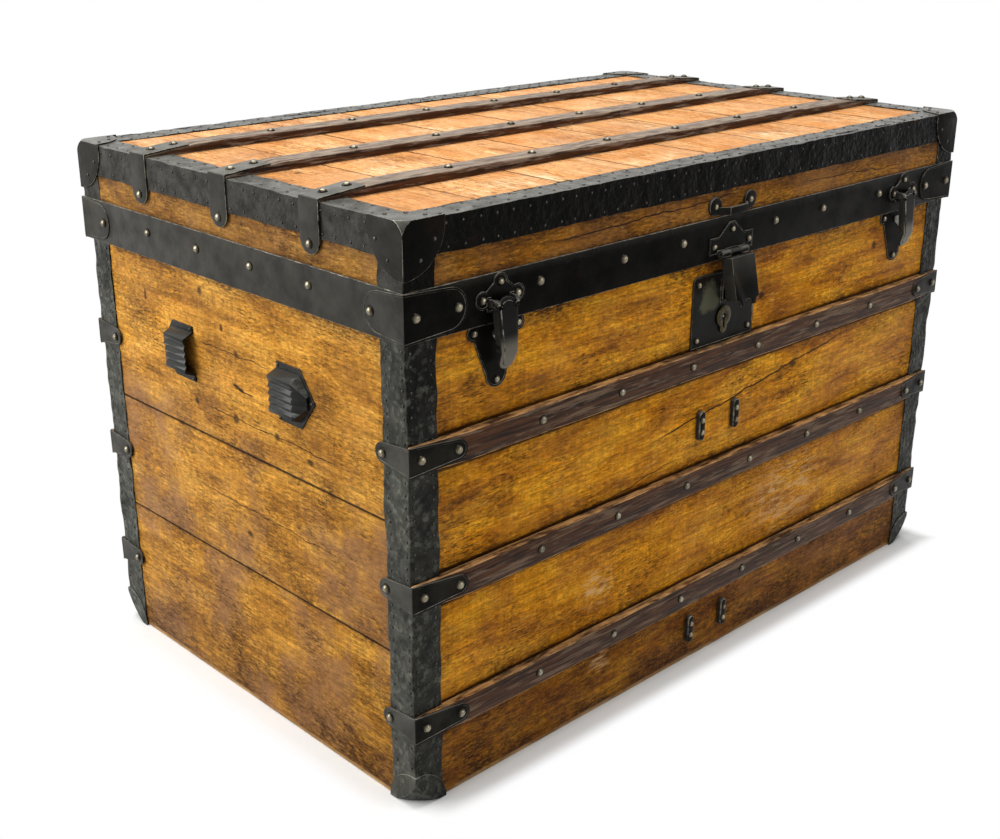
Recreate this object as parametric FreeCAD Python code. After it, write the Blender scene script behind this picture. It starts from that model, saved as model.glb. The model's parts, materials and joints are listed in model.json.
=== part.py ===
import FreeCAD, Part
import math
import os

from FreeCAD import Rotation, Vector

# Flat-lidded travel trunk, in millimetres. X runs along the width, the front faces -Y and Z is up.
# The origin is under the middle of the box, on the floor.

# Box of boards
BOX_WIDTH = 880.0
BOX_DEPTH = 535.0
BODY_TOP = 474.0
WALL = 16.0
BOTTOM = 14.0
END_LOWER_SEAM = 162.0
END_UPPER_SEAM = 297.0

# Lid of boards
LID_HEIGHT = 106.0
LID_OVERHANG = 3.5
LID_WALL = 18.0
LID_BOARD = 10.0
LID_BOARD_COUNT = 8

# Sheet iron
SHEET = 1.5
ANGLE_ARM = 33.0
ANGLE_BEND = 2.0
TRIM_SIDE = 33.0
TRIM_TOP = 29.0
BAND = 2.0
BAND_HEIGHT = 46.0

# Rounded corner caps
CAP_SHEET = 1.5
BOTTOM_BALL_INSET = 60.0
BOTTOM_BALL_RADIUS = 90.0
BOTTOM_CAP_REACH = 38.0
TOP_BALL_INSET = 16.0
TOP_BALL_RADIUS = 24.0
TOP_CAP_REACH = 40.0
TOP_CAP_WIDTH = 46.0
TOP_CAP_DROP = 50.0
CAP_BLOCK = 60.0
CAP_NAIL_NEAR = 18.0
CAP_NAIL_FAR = 34.0
CAP_TOP_NAIL_NEAR = 8.0
CAP_TOP_NAIL_MIDDLE = 24.0
CAP_TOP_NAIL_FAR = 32.0

# Slats
SLAT_HEIGHT = 28.0
SLAT = 9.0
SLAT_END = 3.5
SLAT_TAPER = 66.0
UPPER_SLAT_LEVEL = 366.0
MIDDLE_SLAT_LEVEL = 230.0
LOWER_SLAT_LEVEL = 91.0
TOP_SLAT_OFFSET = 146.0
SLAT_RIVET_INSET = 159.0
SLAT_RIVET_COUNT = 6

# Straps that hold the slat ends
CLAMP = 2.0
CLAMP_FRONT_ARM = 61.0
CLAMP_END_ARM = 42.0
CLAMP_UP = 14.0
CLAMP_DOWN = 15.5
CLAMP_TIP = 10.0
CLIP_FRONT_ARM = 65.0
CLIP_END_ARM = 48.0
CLIP_TIP = 20.0
STRAP_WIDTH = 29.0
STRAP_ALONG = 52.0
STRAP_DROP = 49.0

# Domed rivets
RIVET_RADIUS = 5.0
RIVET_HEIGHT = 3.2
SMALL_RIVET_RADIUS = 4.0
SMALL_RIVET_HEIGHT = 2.4
NAIL_RADIUS = 2.2
NAIL_HEIGHT = 1.2
BAND_RIVET_DROP = 18.5
END_BAND_RIVET_PITCH = 93.0
INNER_BAND_RIVET = 78.0
BAND_RIVET_PITCH = 90.0
LATCH_RIVET_GAP = 52.0

# Handle caps on the ends
HANDLE_LEVEL = 383.0
HANDLE_MOUTH = 75.0
HANDLE_CAP_STRAIGHT = 37.0
HANDLE_CAP_NOSE = 14.0
HANDLE_CAP_STAND = 13.5
HANDLE_CAP_HALF = 24.5
HANDLE_CAP_FACE_HALF = 18.5
HANDLE_CAP_WALL = 2.0
HANDLE_TIP_STAND = 5.0
HANDLE_TIP_HALF = 9.0
HANDLE_TIP_FACE_HALF = 5.5
HANDLE_FLANGE = 2.0
HANDLE_FLANGE_HALF = 30.0
HANDLE_FLANGE_POINT = 22.0
HANDLE_NAIL_MARGIN = 0.5

# Cleats on the front
CLEAT_OFFSET = 30.0
UPPER_CLEAT_LEVEL = 291.0
LOWER_CLEAT_LEVEL = 41.0
CLEAT_WIDTH = 10.0
CLEAT_LENGTH = 34.0
CLEAT = 6.0
CLEAT_RIVET_SPACING = 14.0

# Back hinges
HINGE_INSET = 160.0
HINGE_WIDTH = 54.0
HINGE_LEAF = 2.5
HINGE_LEAF_HEIGHT = 70.0
HINGE_BARREL = 4.5
HINGE_PIN = 2.5
HINGE_KNUCKLE_GAP = 0.4
HINGE_LEAF_GAP = 5.0
BARREL_CLEARANCE = 0.5
PIN_CLEARANCE = 0.05

# Fittings plates
PLATE = 2.0

# Lock
LOCK_PLATE_WIDTH = 106.0
LOCK_PLATE_DROP = 14.0
LOCK_PLATE_HEIGHT = 79.0
LOCK_PLATE_ROUND = 8.0
LOCK_RIVET_INSET = 9.0
SLOT_RIM = 1.5
SLOT_RIM_HEIGHT = 0.8
KEYHOLE_DROP = 65.0
KEYHOLE_RADIUS = 3.4
KEYHOLE_SLOT = 3.0
KEYHOLE_SLOT_LENGTH = 9.0
ESCUTCHEON = 1.2
ESCUTCHEON_RADIUS = 12.0
ESCUTCHEON_TAIL_RADIUS = 6.0
KEY_POST_RADIUS = 1.5
CASE_LEFT = -44.0
CASE_RIGHT = 22.0
CASE_DROP = 20.0
CASE_HEIGHT = 58.0
CASE_DEPTH = 12.0
CASE_SHEET = 1.2
CASE_CLEARANCE = 0.3

# Hasp
HASP_RISE = 7.0
HASP_BARREL = 4.0
HASP_BARREL_LENGTH = 45.0
HASP_BARREL_SINK = 1.0
HASP_LEAF_KNUCKLE = 16.0
HASP_LEAF = 2.2
HASP_LEAF_STAND = 12.0
HASP_LEAF_WIDTH = 39.0
HASP_LEAF_LENGTH = 57.0
HASP_WALL_INSET = 2.0
HASP_SCALLOP = 7.0
HASP_AJAR = 12.0
CLASP_PIN = 1.6
KNUCKLE_GAP = 0.4
HASP_PLATE_APEX_RISE = 39.0
HASP_PLATE_SHOULDER_RISE = 25.0
HASP_PLATE_HALF = 36.0
HASP_PLATE_APEX_HALF = 4.0
HASP_PLATE_WAIST_HALF = 21.0
STAPLE_DROP = 36.0
STAPLE_HEIGHT = 17.0
STAPLE_WIDTH = 3.0
STAPLE_BAR = 1.8
STAPLE_SLOT_CLEARANCE = 2.0

# Lock bolt
BOLT_HEIGHT = 8.0
BOLT = 1.7
BOLT_SET_BACK = 0.3
BOLT_LENGTH = 36.0
BOLT_TIP_BACK = 4.0
BOLT_CLEARANCE = 0.2
BOLT_TAIL_WIDTH = 6.0
BOLT_TAIL_LENGTH = 16.0
BOLT_TAIL_FROM_TIP = 10.0
BOLT_GUIDE_LENGTH = 18.0
BOLT_GUIDE = 3.0
SPRING_SHEET = 0.8
SPRING_FOOT = 4.0
SPRING_CLEARANCE = 0.3

# Latches
LATCH_INSET = 105.0
LATCH_AXIS_RISE = 20.0
LATCH_AXIS_STAND = 6.2
LATCH_LUG = 2.5
LATCH_EYE = 3.5
TONGUE_WIDTH = 25.0
TONGUE_TIP_WIDTH = 19.0
TONGUE_SHEET = 2.0
TONGUE_STAND = 0.5
TONGUE_ARCH_DROP = 7.5
TONGUE_STRAIGHT = 46.0
TONGUE_TIP = 18.0
TONGUE_TIP_BEND = 24.0
TONGUE_FLANGE = 5.0
TONGUE_FLANGE_END = 38.0
TONGUE_BAR_TOP = 42.0
TONGUE_BAR = 3.0
TONGUE_AJAR = 4.0
KEEPER_EAR_OFFSET = 21.5
KEEPER_EAR_RISE = 23.0
KEEPER_EAR_RADIUS = 8.5
KEEPER_TOP_RISE = 37.0
KEEPER_SKIRT = 9.0
LATCH_PLATE_EAR_OFFSET = 27.5
LATCH_PLATE_EAR_DROP = 7.0
LATCH_PLATE_EAR_RADIUS = 8.0
LATCH_PLATE_TOP_GAP = 0.8
LATCH_PLATE_TIP_DROP = 50.0
LATCH_PLATE_TIP_RADIUS = 13.0
LATCH_PLATE_TIP_RIVET_DROP = 56.0
CATCH_WIDTH = 12.0
CATCH_SHEET = 1.0
CATCH_FOOT = 6.0
CATCH_GAP = 1.0
CATCH_BITE = 1.6
CATCH_SLOPE = 8.0

# Lid lift
LIFT_EAR_OFFSET = 29.5
LIFT_EAR_RISE = 58.0
LIFT_EAR_RADIUS = 9.5
LIFT_SHEET = 3.0
LIFT_STRIP_HEIGHT = 8.0
LIFT_STAND = 11.0
LIFT_RAMP = 10.0

# Places worked out from the sizes above
HALF_W = BOX_WIDTH / 2
HALF_D = BOX_DEPTH / 2
LID_HALF_W = HALF_W + LID_OVERHANG
LID_HALF_D = HALF_D + LID_OVERHANG
BAND_OUT = LID_OVERHANG + BAND
LID_TOP = BODY_TOP + LID_HEIGHT
BOARD_TOP = LID_TOP - SHEET
BAND_TOP = BODY_TOP + BAND_HEIGHT
BAND_MIDDLE = BODY_TOP + BAND_HEIGHT / 2
BAND_RIVET_LEVEL = BAND_TOP - BAND_RIVET_DROP
FITTING_OUT = BAND_OUT + PLATE
HASP_LEVEL = BODY_TOP + HASP_RISE
HASP_PLATE_APEX = BODY_TOP + HASP_PLATE_APEX_RISE
HASP_PLATE_SHOULDER = BODY_TOP + HASP_PLATE_SHOULDER_RISE
LATCH_AXIS_LEVEL = BODY_TOP + LATCH_AXIS_RISE
KEEPER_EAR_LEVEL = BODY_TOP + KEEPER_EAR_RISE
KEEPER_TOP_LEVEL = BODY_TOP + KEEPER_TOP_RISE
LIFT_EAR_LEVEL = BODY_TOP + LIFT_EAR_RISE
LOCK_PLATE_TOP = BODY_TOP - LOCK_PLATE_DROP
KEYHOLE_LEVEL = BODY_TOP - KEYHOLE_DROP
CASE_TOP = BODY_TOP - CASE_DROP
STAPLE_LEVEL = BODY_TOP - STAPLE_DROP
LATCH_PLATE_EAR_LEVEL = BODY_TOP - LATCH_PLATE_EAR_DROP
LATCH_PLATE_TIP_LEVEL = BODY_TOP - LATCH_PLATE_TIP_DROP
LATCH_PLATE_TIP_RIVET = BODY_TOP - LATCH_PLATE_TIP_RIVET_DROP
LOCK_PLATE_BOTTOM = LOCK_PLATE_TOP - LOCK_PLATE_HEIGHT
CASE_BOTTOM = CASE_TOP - CASE_HEIGHT
HINGE_AXIS_Y = HALF_D + BAND_OUT + BARREL_CLEARANCE + HINGE_BARREL
HASP_AXIS_STAND = FITTING_OUT + HASP_BARREL - HASP_BARREL_SINK
LATCH_STAND = FITTING_OUT + LATCH_AXIS_STAND
BOLT_FRONT = -BOLT_SET_BACK
BOLT_BACK = BOLT_FRONT - BOLT
BOLT_LOW = STAPLE_LEVEL - BOLT_HEIGHT / 2
BOLT_HIGH = STAPLE_LEVEL + BOLT_HEIGHT / 2
STAPLE_BACK = BOLT_BACK - BOLT_CLEARANCE - STAPLE_BAR
BOX_SLAT_REACH = HALF_W + SHEET
LID_SLAT_REACH = LID_HALF_W + SHEET
END_SEAMS = (END_LOWER_SEAM, END_UPPER_SEAM)
COVERED_SEAMS = (LOWER_SLAT_LEVEL, MIDDLE_SLAT_LEVEL, UPPER_SLAT_LEVEL)
SLAT_LEVELS = {"upper": UPPER_SLAT_LEVEL, "middle": MIDDLE_SLAT_LEVEL, "lower": LOWER_SLAT_LEVEL}
TOP_SLATS = {"front": -TOP_SLAT_OFFSET, "middle": 0.0, "back": TOP_SLAT_OFFSET}
CLEAT_LEVELS = (UPPER_CLEAT_LEVEL, LOWER_CLEAT_LEVEL)
SLAT_RIVET_REACH = HALF_W - SLAT_RIVET_INSET
BAND_RIVETS = (INNER_BAND_RIVET, INNER_BAND_RIVET + BAND_RIVET_PITCH)
LATCH_OFFSET = HALF_W - LATCH_INSET
LATCHES = {"left": -LATCH_OFFSET, "right": LATCH_OFFSET}
HINGE_OFFSET = HALF_W - HINGE_INSET
UP = Vector(0, 0, 1)
OUT_FRONT = Vector(0, -1, 0)
OUT_LEFT = Vector(-1, 0, 0)
ALONG_X = Vector(1, 0, 0)


def box(x0, x1, y0, y1, z0, z1):
    """Block between two corners."""
    return Part.makeBox(x1 - x0, y1 - y0, z1 - z0, Vector(x0, y0, z0))


def front(stand):
    """Y of a plane that stands this far out from the front boards."""
    return -HALF_D - stand


def front_box(x0, x1, stand0, stand1, z0, z1):
    """Block on the front, between two distances from the front boards."""
    return box(x0, x1, front(stand1), front(stand0), z0, z1)


def bar(radius, start, end):
    """Round bar between two points."""
    return Part.makeCylinder(radius, (end - start).Length, start, end - start)


def front_disc(x, z, radius, stand0, stand1):
    """Round plate on the front."""
    return bar(radius, Vector(x, front(stand0), z), Vector(x, front(stand1), z))


def x_bar(radius, x0, x1, stand, z):
    """Round bar along X on the front."""
    return bar(radius, Vector(x0, front(stand), z), Vector(x1, front(stand), z))


def prism(points, travel):
    """Straight prism on a polygon of points."""
    return Part.Face(Part.makePolygon(points + points[:1])).extrude(travel)


def front_prism(outline, stand0, stand1):
    """Plate on the front with a polygon outline of (x, z) points."""
    points = [Vector(x, front(stand0), z) for x, z in outline]
    return prism(points, OUT_FRONT * (stand1 - stand0))


def side_prism(profile, x0, x1):
    """Bar along X with a polygon section of (distance from the front boards, z) points."""
    points = [Vector(x0, front(stand), z) for stand, z in profile]
    return prism(points, ALONG_X * (x1 - x0))


def join(first, *others):
    """One solid from solids that touch or overlap."""
    return first.fuse(list(others)).removeSplitter()


def mirror_x(shape):
    """Copy on the other side of the middle plane across the width."""
    return shape.mirror(Vector(0, 0, 0), Vector(1, 0, 0))


def mirror_y(shape):
    """Copy on the other side of the middle plane across the depth."""
    return shape.mirror(Vector(0, 0, 0), Vector(0, 1, 0))


def both_sides(shape):
    """The shape and its copy across the width."""
    return [shape, mirror_x(shape)]


def four_corners(shape):
    """The shape at the front left corner and its copies at the other three."""
    return both_sides(shape) + both_sides(mirror_y(shape))


def at_levels(shape, levels):
    """Copies of a corner shape at all four corners and at several levels."""
    return [copy for level in levels for copy in four_corners(shape.translated(UP * level))]


def solids_of(shapes):
    """List of the solids in several shapes."""
    return [solid for shape in shapes for solid in shape.Solids]


def to_ends(places):
    """Places between the middle and an end, on both sides."""
    return [sign * place for place in places for sign in (-1, 1)]


def swung(shape, degrees, stand, level):
    """Copy swung outwards about an axis along X on the front."""
    copy = shape.copy()
    copy.rotate(Vector(0, front(stand), level), ALONG_X, -degrees)
    return copy


def dome(radius, height):
    """Domed head that sits on the plane z = 0."""
    ball_radius = (radius ** 2 + height ** 2) / (2 * height)
    ball = Part.makeSphere(ball_radius, Vector(0, 0, height - ball_radius))
    return ball.common(box(-2 * radius, 2 * radius, -2 * radius, 2 * radius, 0, 2 * height))


RIVET = dome(RIVET_RADIUS, RIVET_HEIGHT)
SMALL_RIVET = dome(SMALL_RIVET_RADIUS, SMALL_RIVET_HEIGHT)
NAIL = dome(NAIL_RADIUS, NAIL_HEIGHT)


def head(kind, place, normal):
    """Copy of a rivet or nail head, seated at a place and facing along a normal."""
    copy = kind.copy()
    copy.Placement = FreeCAD.Placement(place, Rotation(UP, normal))
    return copy


def front_head(kind, x, stand, z):
    """Rivet or nail head on the front."""
    return head(kind, Vector(x, front(stand), z), OUT_FRONT)


def span_box(first, second):
    """Block between two opposite corners in any order."""
    low = Vector(*[min(first[i], second[i]) for i in range(3)])
    high = Vector(*[max(first[i], second[i]) for i in range(3)])
    return box(low.x, high.x, low.y, high.y, low.z, high.z)


def corner_waste(corner, inset, radius):
    """What a rounded corner takes off the square one. Inset points into the box."""
    centre = corner + inset
    block = span_box(corner - inset, centre)
    return block.cut(Part.makeSphere(radius, centre))


def rounded_corner(corner, centre, radius, far):
    """Corner of a box, rounded by a ball, as far as an inner point."""
    return span_box(corner, far).cut(corner_waste(corner, centre - corner, radius))


def corner_cap(corner, inward, ball, outward, outline):
    """Sheet iron cap over a rounded corner. Outward says on which faces the sheet lies."""
    inset, radius = ball
    centre = corner + inward * inset
    far = corner + inward * CAP_BLOCK
    core = rounded_corner(corner, centre, radius, far)
    skin = rounded_corner(corner + outward * CAP_SHEET, centre, radius + CAP_SHEET, far)
    return skin.cut(core).common(outline)


BOTTOM_CORNER = Vector(-HALF_W - SHEET, -HALF_D - SHEET, 0)
BOTTOM_INWARD = Vector(1, 1, 1)
BOTTOM_WASTE = Part.makeCompound(
    four_corners(corner_waste(BOTTOM_CORNER, BOTTOM_INWARD * BOTTOM_BALL_INSET, BOTTOM_BALL_RADIUS))
)
TOP_CORNER = Vector(-LID_HALF_W - SHEET, -LID_HALF_D - SHEET, LID_TOP)
TOP_INWARD = Vector(1, 1, -1)
TOP_WASTE = Part.makeCompound(
    four_corners(corner_waste(TOP_CORNER, TOP_INWARD * TOP_BALL_INSET, TOP_BALL_RADIUS))
)


def top_cap_outline():
    """Room of a lid cap: a tongue with a round end down each side, a quarter disc on top and the ball."""
    outside = TOP_CORNER + Vector(-1, -1, 1) * CAP_SHEET
    low = LID_TOP - TOP_CAP_DROP + TOP_CAP_WIDTH
    edge = Vector(TOP_CORNER.x, TOP_CORNER.y, low)
    front_tongue = join(
        span_box(outside, edge + ALONG_X * TOP_CAP_WIDTH),
        bar(TOP_CAP_WIDTH, edge, edge + OUT_FRONT * CAP_SHEET),
    )
    end_tongue = join(
        span_box(outside, edge - OUT_FRONT * TOP_CAP_WIDTH),
        bar(TOP_CAP_WIDTH, edge, edge + OUT_LEFT * CAP_SHEET),
    )
    disc = bar(TOP_CAP_REACH, TOP_CORNER, TOP_CORNER + UP * CAP_SHEET)
    ball = span_box(outside, TOP_CORNER + TOP_INWARD * TOP_BALL_INSET)
    return join(front_tongue, end_tongue, disc, ball)


def top_cap_nails():
    """Nails of one lid cap."""
    heads = []
    for along, drop in ((CAP_NAIL_NEAR, CAP_NAIL_FAR), (CAP_NAIL_FAR, CAP_NAIL_NEAR)):
        heads.append(head(NAIL, TOP_CORNER + Vector(along, -CAP_SHEET, -drop), OUT_FRONT))
        heads.append(head(NAIL, TOP_CORNER + Vector(-CAP_SHEET, along, -drop), OUT_LEFT))
    places = (
        (CAP_TOP_NAIL_NEAR, CAP_TOP_NAIL_FAR),
        (CAP_TOP_NAIL_MIDDLE, CAP_TOP_NAIL_MIDDLE),
        (CAP_TOP_NAIL_FAR, CAP_TOP_NAIL_NEAR),
    )
    return heads + [head(NAIL, TOP_CORNER + Vector(x, y, CAP_SHEET), UP) for x, y in places]


def wall_boards(x0, x1, y0, y1, seams):
    """Boards edge to edge with seams at these levels, rounded off at the bottom corners."""
    levels = (0, *seams, BODY_TOP)
    boards = [box(x0, x1, y0, y1, low, high) for low, high in zip(levels, levels[1:])]
    return [boards[0].cut(BOTTOM_WASTE)] + boards[1:]


def front_boards():
    """Front wall, with a pocket for the lock case."""
    boards = wall_boards(-HALF_W, HALF_W, -HALF_D, -HALF_D + WALL, COVERED_SEAMS)
    pocket = front_box(
        CASE_LEFT - CASE_CLEARANCE,
        CASE_RIGHT + CASE_CLEARANCE,
        -CASE_DEPTH - CASE_CLEARANCE,
        0,
        CASE_BOTTOM - CASE_CLEARANCE,
        CASE_TOP + CASE_CLEARANCE,
    )
    return boards[:-1] + [boards[-1].cut(pocket)]


def back_boards():
    """Back wall."""
    return wall_boards(-HALF_W, HALF_W, HALF_D - WALL, HALF_D, COVERED_SEAMS)


def left_end_boards():
    """Left end, between the front and the back wall."""
    return wall_boards(-HALF_W, -HALF_W + WALL, -HALF_D + WALL, HALF_D - WALL, END_SEAMS)


def bottom_panel():
    """Bottom, inside the walls."""
    panel = box(-HALF_W + WALL, HALF_W - WALL, -HALF_D + WALL, HALF_D - WALL, 0, BOTTOM)
    return panel.cut(BOTTOM_WASTE)


def angle_iron(half_w, half_d, low, high):
    """Upright angle of sheet iron at the front left corner of a box with these half sizes."""
    on_front = box(-half_w - SHEET, -half_w + ANGLE_ARM, -half_d - SHEET, -half_d, low, high)
    on_end = box(-half_w - SHEET, -half_w, -half_d - SHEET, -half_d + ANGLE_ARM, low, high)
    angle = join(on_front, on_end)
    corner = [
        edge for edge in angle.Edges
        if edge.BoundBox.XMax < -half_w and edge.BoundBox.YMax < -half_d and edge.BoundBox.ZLength > SHEET
    ]
    return angle.makeFillet(ANGLE_BEND, corner)


def slat_stand(distance):
    """Thickness of a slat at a distance from its end."""
    share = min(distance / SLAT_TAPER, 1)
    return SLAT_END + (SLAT - SLAT_END) * share


SLAT_LEAN = math.atan2(SLAT - SLAT_END, SLAT_TAPER)


def slat_profile(reach, cover):
    """Long outline of a slat as (x, thickness), notched at its ends over the sheet iron."""
    inner = reach - SHEET - cover
    return [
        (-reach, SHEET), (-reach, SLAT_END), (-reach + SLAT_TAPER, SLAT),
        (reach - SLAT_TAPER, SLAT), (reach, SLAT_END), (reach, SHEET),
        (inner, SHEET), (inner, 0), (-inner, 0), (-inner, SHEET),
    ]


def front_slat(level):
    """Slat across the front."""
    low = level - SLAT_HEIGHT / 2
    points = [Vector(x, front(stand), low) for x, stand in slat_profile(BOX_SLAT_REACH, ANGLE_ARM)]
    return prism(points, UP * SLAT_HEIGHT)


def top_slat(y):
    """Slat along the lid."""
    near = y - SLAT_HEIGHT / 2
    profile = slat_profile(LID_SLAT_REACH, TRIM_TOP)
    points = [Vector(x, near, BOARD_TOP + rise) for x, rise in profile]
    return prism(points, Vector(0, SLAT_HEIGHT, 0))


def rivet_places():
    """Places of the rivets along a slat."""
    pitch = 2 * SLAT_RIVET_REACH / (SLAT_RIVET_COUNT - 1)
    return [-SLAT_RIVET_REACH + i * pitch for i in range(SLAT_RIVET_COUNT)]


def arm_outline(corner, tip, heights, plane):
    """Face of a strap's arm, tapering from the corner to a round tip. Plane places a (run, z) point."""
    up, down, round_end = heights
    centre = tip - math.copysign(round_end, tip - corner)
    top = plane(centre, round_end)
    low = plane(centre, -round_end)
    edges = [
        Part.LineSegment(plane(corner, -down), plane(corner, up)).toShape(),
        Part.LineSegment(plane(corner, up), top).toShape(),
        Part.Arc(top, plane(tip, 0), low).toShape(),
        Part.LineSegment(low, plane(corner, -down)).toShape(),
    ]
    return Part.Face(Part.Wire(edges))


def corner_strap(stands, arms, heights, sheet):
    """Strap bent round the front left corner, about the level z = 0.

    The inner face stands off the front boards by the first stand at the front arm's tip and by the
    second at the corner, and off the end boards by the third.
    """
    stand_tip, stand_corner, stand_end = stands
    front_arm, end_arm = arms
    up, down, round_end = heights
    corner_x = -HALF_W - stand_end
    corner_y = front(stand_corner)
    tip_x = -HALF_W + front_arm
    end_y = -HALF_D + end_arm
    lean = math.atan2(stand_tip - stand_corner, tip_x - corner_x)
    shift = Vector(-math.sin(lean), -math.cos(lean), 0) * sheet
    inner_tip = Vector(tip_x, front(stand_tip), -down)
    outer_tip = inner_tip + shift
    outer_x = corner_x - sheet
    outer_y = outer_tip.y + (outer_tip.x - outer_x) * math.tan(lean)
    outline = [
        inner_tip,
        Vector(corner_x, corner_y, -down),
        Vector(corner_x, end_y, -down),
        Vector(outer_x, end_y, -down),
        Vector(outer_x, outer_y, -down),
        outer_tip,
    ]
    strip = prism(outline, UP * (up + down))
    bend = [
        edge for edge in strip.Edges
        if edge.BoundBox.ZLength > sheet and abs(edge.BoundBox.XMin - outer_x) < sheet / 10
        and abs(edge.BoundBox.YMin - outer_y) < sheet / 10
    ]
    strip = strip.makeFillet(sheet, bend)
    room = stand_tip + 2 * sheet
    front_face = arm_outline(outer_x - sheet, tip_x, heights, lambda run, z: Vector(run, corner_y, z))
    front_part = strip.common(front_face.extrude(Vector(0, -room, 0)))
    end_face = arm_outline(corner_y - room, end_y, heights, lambda run, z: Vector(corner_x, run, z))
    end_part = strip.common(end_face.extrude(Vector(-2 * sheet, 0, 0)))
    return join(front_part, end_part)


def clamp():
    """Clamp that holds a slat's end, about the slat's middle line."""
    stands = (slat_stand(CLAMP_FRONT_ARM + SHEET), SLAT_END, SHEET)
    return corner_strap(stands, (CLAMP_FRONT_ARM, CLAMP_END_ARM), (CLAMP_UP, CLAMP_DOWN, CLAMP_TIP), CLAMP)


def clamp_rivets():
    """Rivets of one clamp, about the slat's middle line."""
    normal = Vector(-math.sin(SLAT_LEAN), -math.cos(SLAT_LEAN), 0)
    heads = []
    for distance in (CLAMP_FRONT_ARM - CLAMP_TIP, CLAMP_TIP):
        stand = slat_stand(distance + SHEET)
        seat = Vector(-HALF_W + distance, front(stand), 0) + normal * CLAMP
        heads.append(head(RIVET, seat, normal))
    end_seat = Vector(-HALF_W - SHEET - CLAMP, -HALF_D + CLAMP_END_ARM - CLAMP_TIP, 0)
    heads.append(head(RIVET, end_seat, OUT_LEFT))
    return Part.makeCompound(heads)


def clip():
    """Clip over the corner of the lid band, about the band's middle line."""
    half = BAND_HEIGHT / 2
    stands = (BAND_OUT, BAND_OUT, BAND_OUT)
    return corner_strap(stands, (CLIP_FRONT_ARM, CLIP_END_ARM), (half, half, CLIP_TIP), SHEET)


def clip_rivets():
    """Rivets of one clip, about the band's middle line."""
    stand = BAND_OUT + SHEET
    heads = [
        front_head(RIVET, -HALF_W + CLIP_FRONT_ARM - CLIP_TIP / 2, stand, 0),
        front_head(RIVET, -HALF_W + RIVET_RADIUS + SHEET, stand, 0),
    ]
    end_seat = Vector(-HALF_W - stand, -HALF_D + CLIP_END_ARM - CLIP_TIP / 2, 0)
    heads.append(head(RIVET, end_seat, OUT_LEFT))
    return Part.makeCompound(heads)


def slat_rivets():
    """Rivets along the front and back slats."""
    heads = []
    for level in SLAT_LEVELS.values():
        for x in rivet_places():
            seat = front_head(RIVET, x, SLAT, level)
            heads += [seat, mirror_y(seat)]
    return heads


HANDLE_SHOULDER = HANDLE_MOUTH + HANDLE_CAP_STRAIGHT
HANDLE_CAP_END = HANDLE_SHOULDER + HANDLE_CAP_NOSE
HANDLE_FLANGE_END = HANDLE_SHOULDER + HANDLE_FLANGE_POINT


def hood_section(y, stand, half, face_half):
    """Outline across a handle cap's hood, from the wall out to its flat face."""
    outline = [(0, -half), (stand, -face_half), (stand, face_half), (0, half)]
    points = [Vector(-HALF_W - out, y, HANDLE_LEVEL + z) for out, z in outline]
    return Part.makePolygon(points + points[:1])


def handle_hood(wall):
    """Hood of the left front handle cap, made smaller all round by a wall's thickness."""
    stand = HANDLE_CAP_STAND - wall
    half = HANDLE_CAP_HALF - wall
    face_half = HANDLE_CAP_FACE_HALF - wall
    sections = [
        hood_section(-HANDLE_MOUTH + wall, stand, half, face_half),
        hood_section(-HANDLE_SHOULDER, stand, half, face_half),
        hood_section(
            -HANDLE_CAP_END + wall,
            HANDLE_TIP_STAND - wall,
            HANDLE_TIP_HALF - wall,
            HANDLE_TIP_FACE_HALF - wall,
        ),
    ]
    return Part.makeLoft(sections, True, True)


def handle_cap():
    """Handle cap on the left end, at the front, its mouth towards the back."""
    half = HANDLE_FLANGE_HALF
    outline = [
        (-HANDLE_MOUTH, -half), (-HANDLE_MOUTH, half), (-HANDLE_SHOULDER, half),
        (-HANDLE_FLANGE_END, 0), (-HANDLE_SHOULDER, -half),
    ]
    points = [Vector(-HALF_W, y, HANDLE_LEVEL + z) for y, z in outline]
    flange = prism(points, OUT_LEFT * HANDLE_FLANGE)
    return join(handle_hood(0), flange).cut(handle_hood(HANDLE_CAP_WALL))


def handle_cap_nails():
    """Nails of one handle cap, two beside its mouth and one in its point."""
    inset = NAIL_RADIUS + HANDLE_NAIL_MARGIN
    high = HANDLE_FLANGE_HALF - inset
    tip = (HANDLE_CAP_END + HANDLE_FLANGE_END) / 2
    places = [(-HANDLE_MOUTH - inset, high), (-HANDLE_MOUTH - inset, -high), (-tip, 0)]
    return [
        head(NAIL, Vector(-HALF_W - HANDLE_FLANGE, y, HANDLE_LEVEL + z), OUT_LEFT) for y, z in places
    ]


def cleat(x, level):
    """Small upright iron cleat on the front, with round ends."""
    radius = CLEAT_WIDTH / 2
    half = CLEAT_LENGTH / 2 - radius
    body = front_box(x - radius, x + radius, 0, CLEAT, level - half, level + half)
    ends = [front_disc(x, level + end, radius, 0, CLEAT) for end in (-half, half)]
    return join(body, *ends)


def cleat_places():
    """Places of the cleats as (x, z)."""
    return [(x, level) for level in CLEAT_LEVELS for x in (-CLEAT_OFFSET, CLEAT_OFFSET)]


def keyhole(stand0, stand1):
    """Keyhole cutter."""
    low = KEYHOLE_LEVEL - KEYHOLE_RADIUS - KEYHOLE_SLOT_LENGTH
    slot = front_box(-KEYHOLE_SLOT / 2, KEYHOLE_SLOT / 2, stand0, stand1, low, KEYHOLE_LEVEL)
    return join(front_disc(0, KEYHOLE_LEVEL, KEYHOLE_RADIUS, stand0, stand1), slot)


def staple_slot(margin, stand0, stand1):
    """Block round the staple, wider by a margin."""
    half = STAPLE_WIDTH / 2 + STAPLE_SLOT_CLEARANCE + margin
    reach = STAPLE_HEIGHT / 2 + STAPLE_SLOT_CLEARANCE + margin
    return front_box(-half, half, stand0, stand1, STAPLE_LEVEL - reach, STAPLE_LEVEL + reach)


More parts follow.
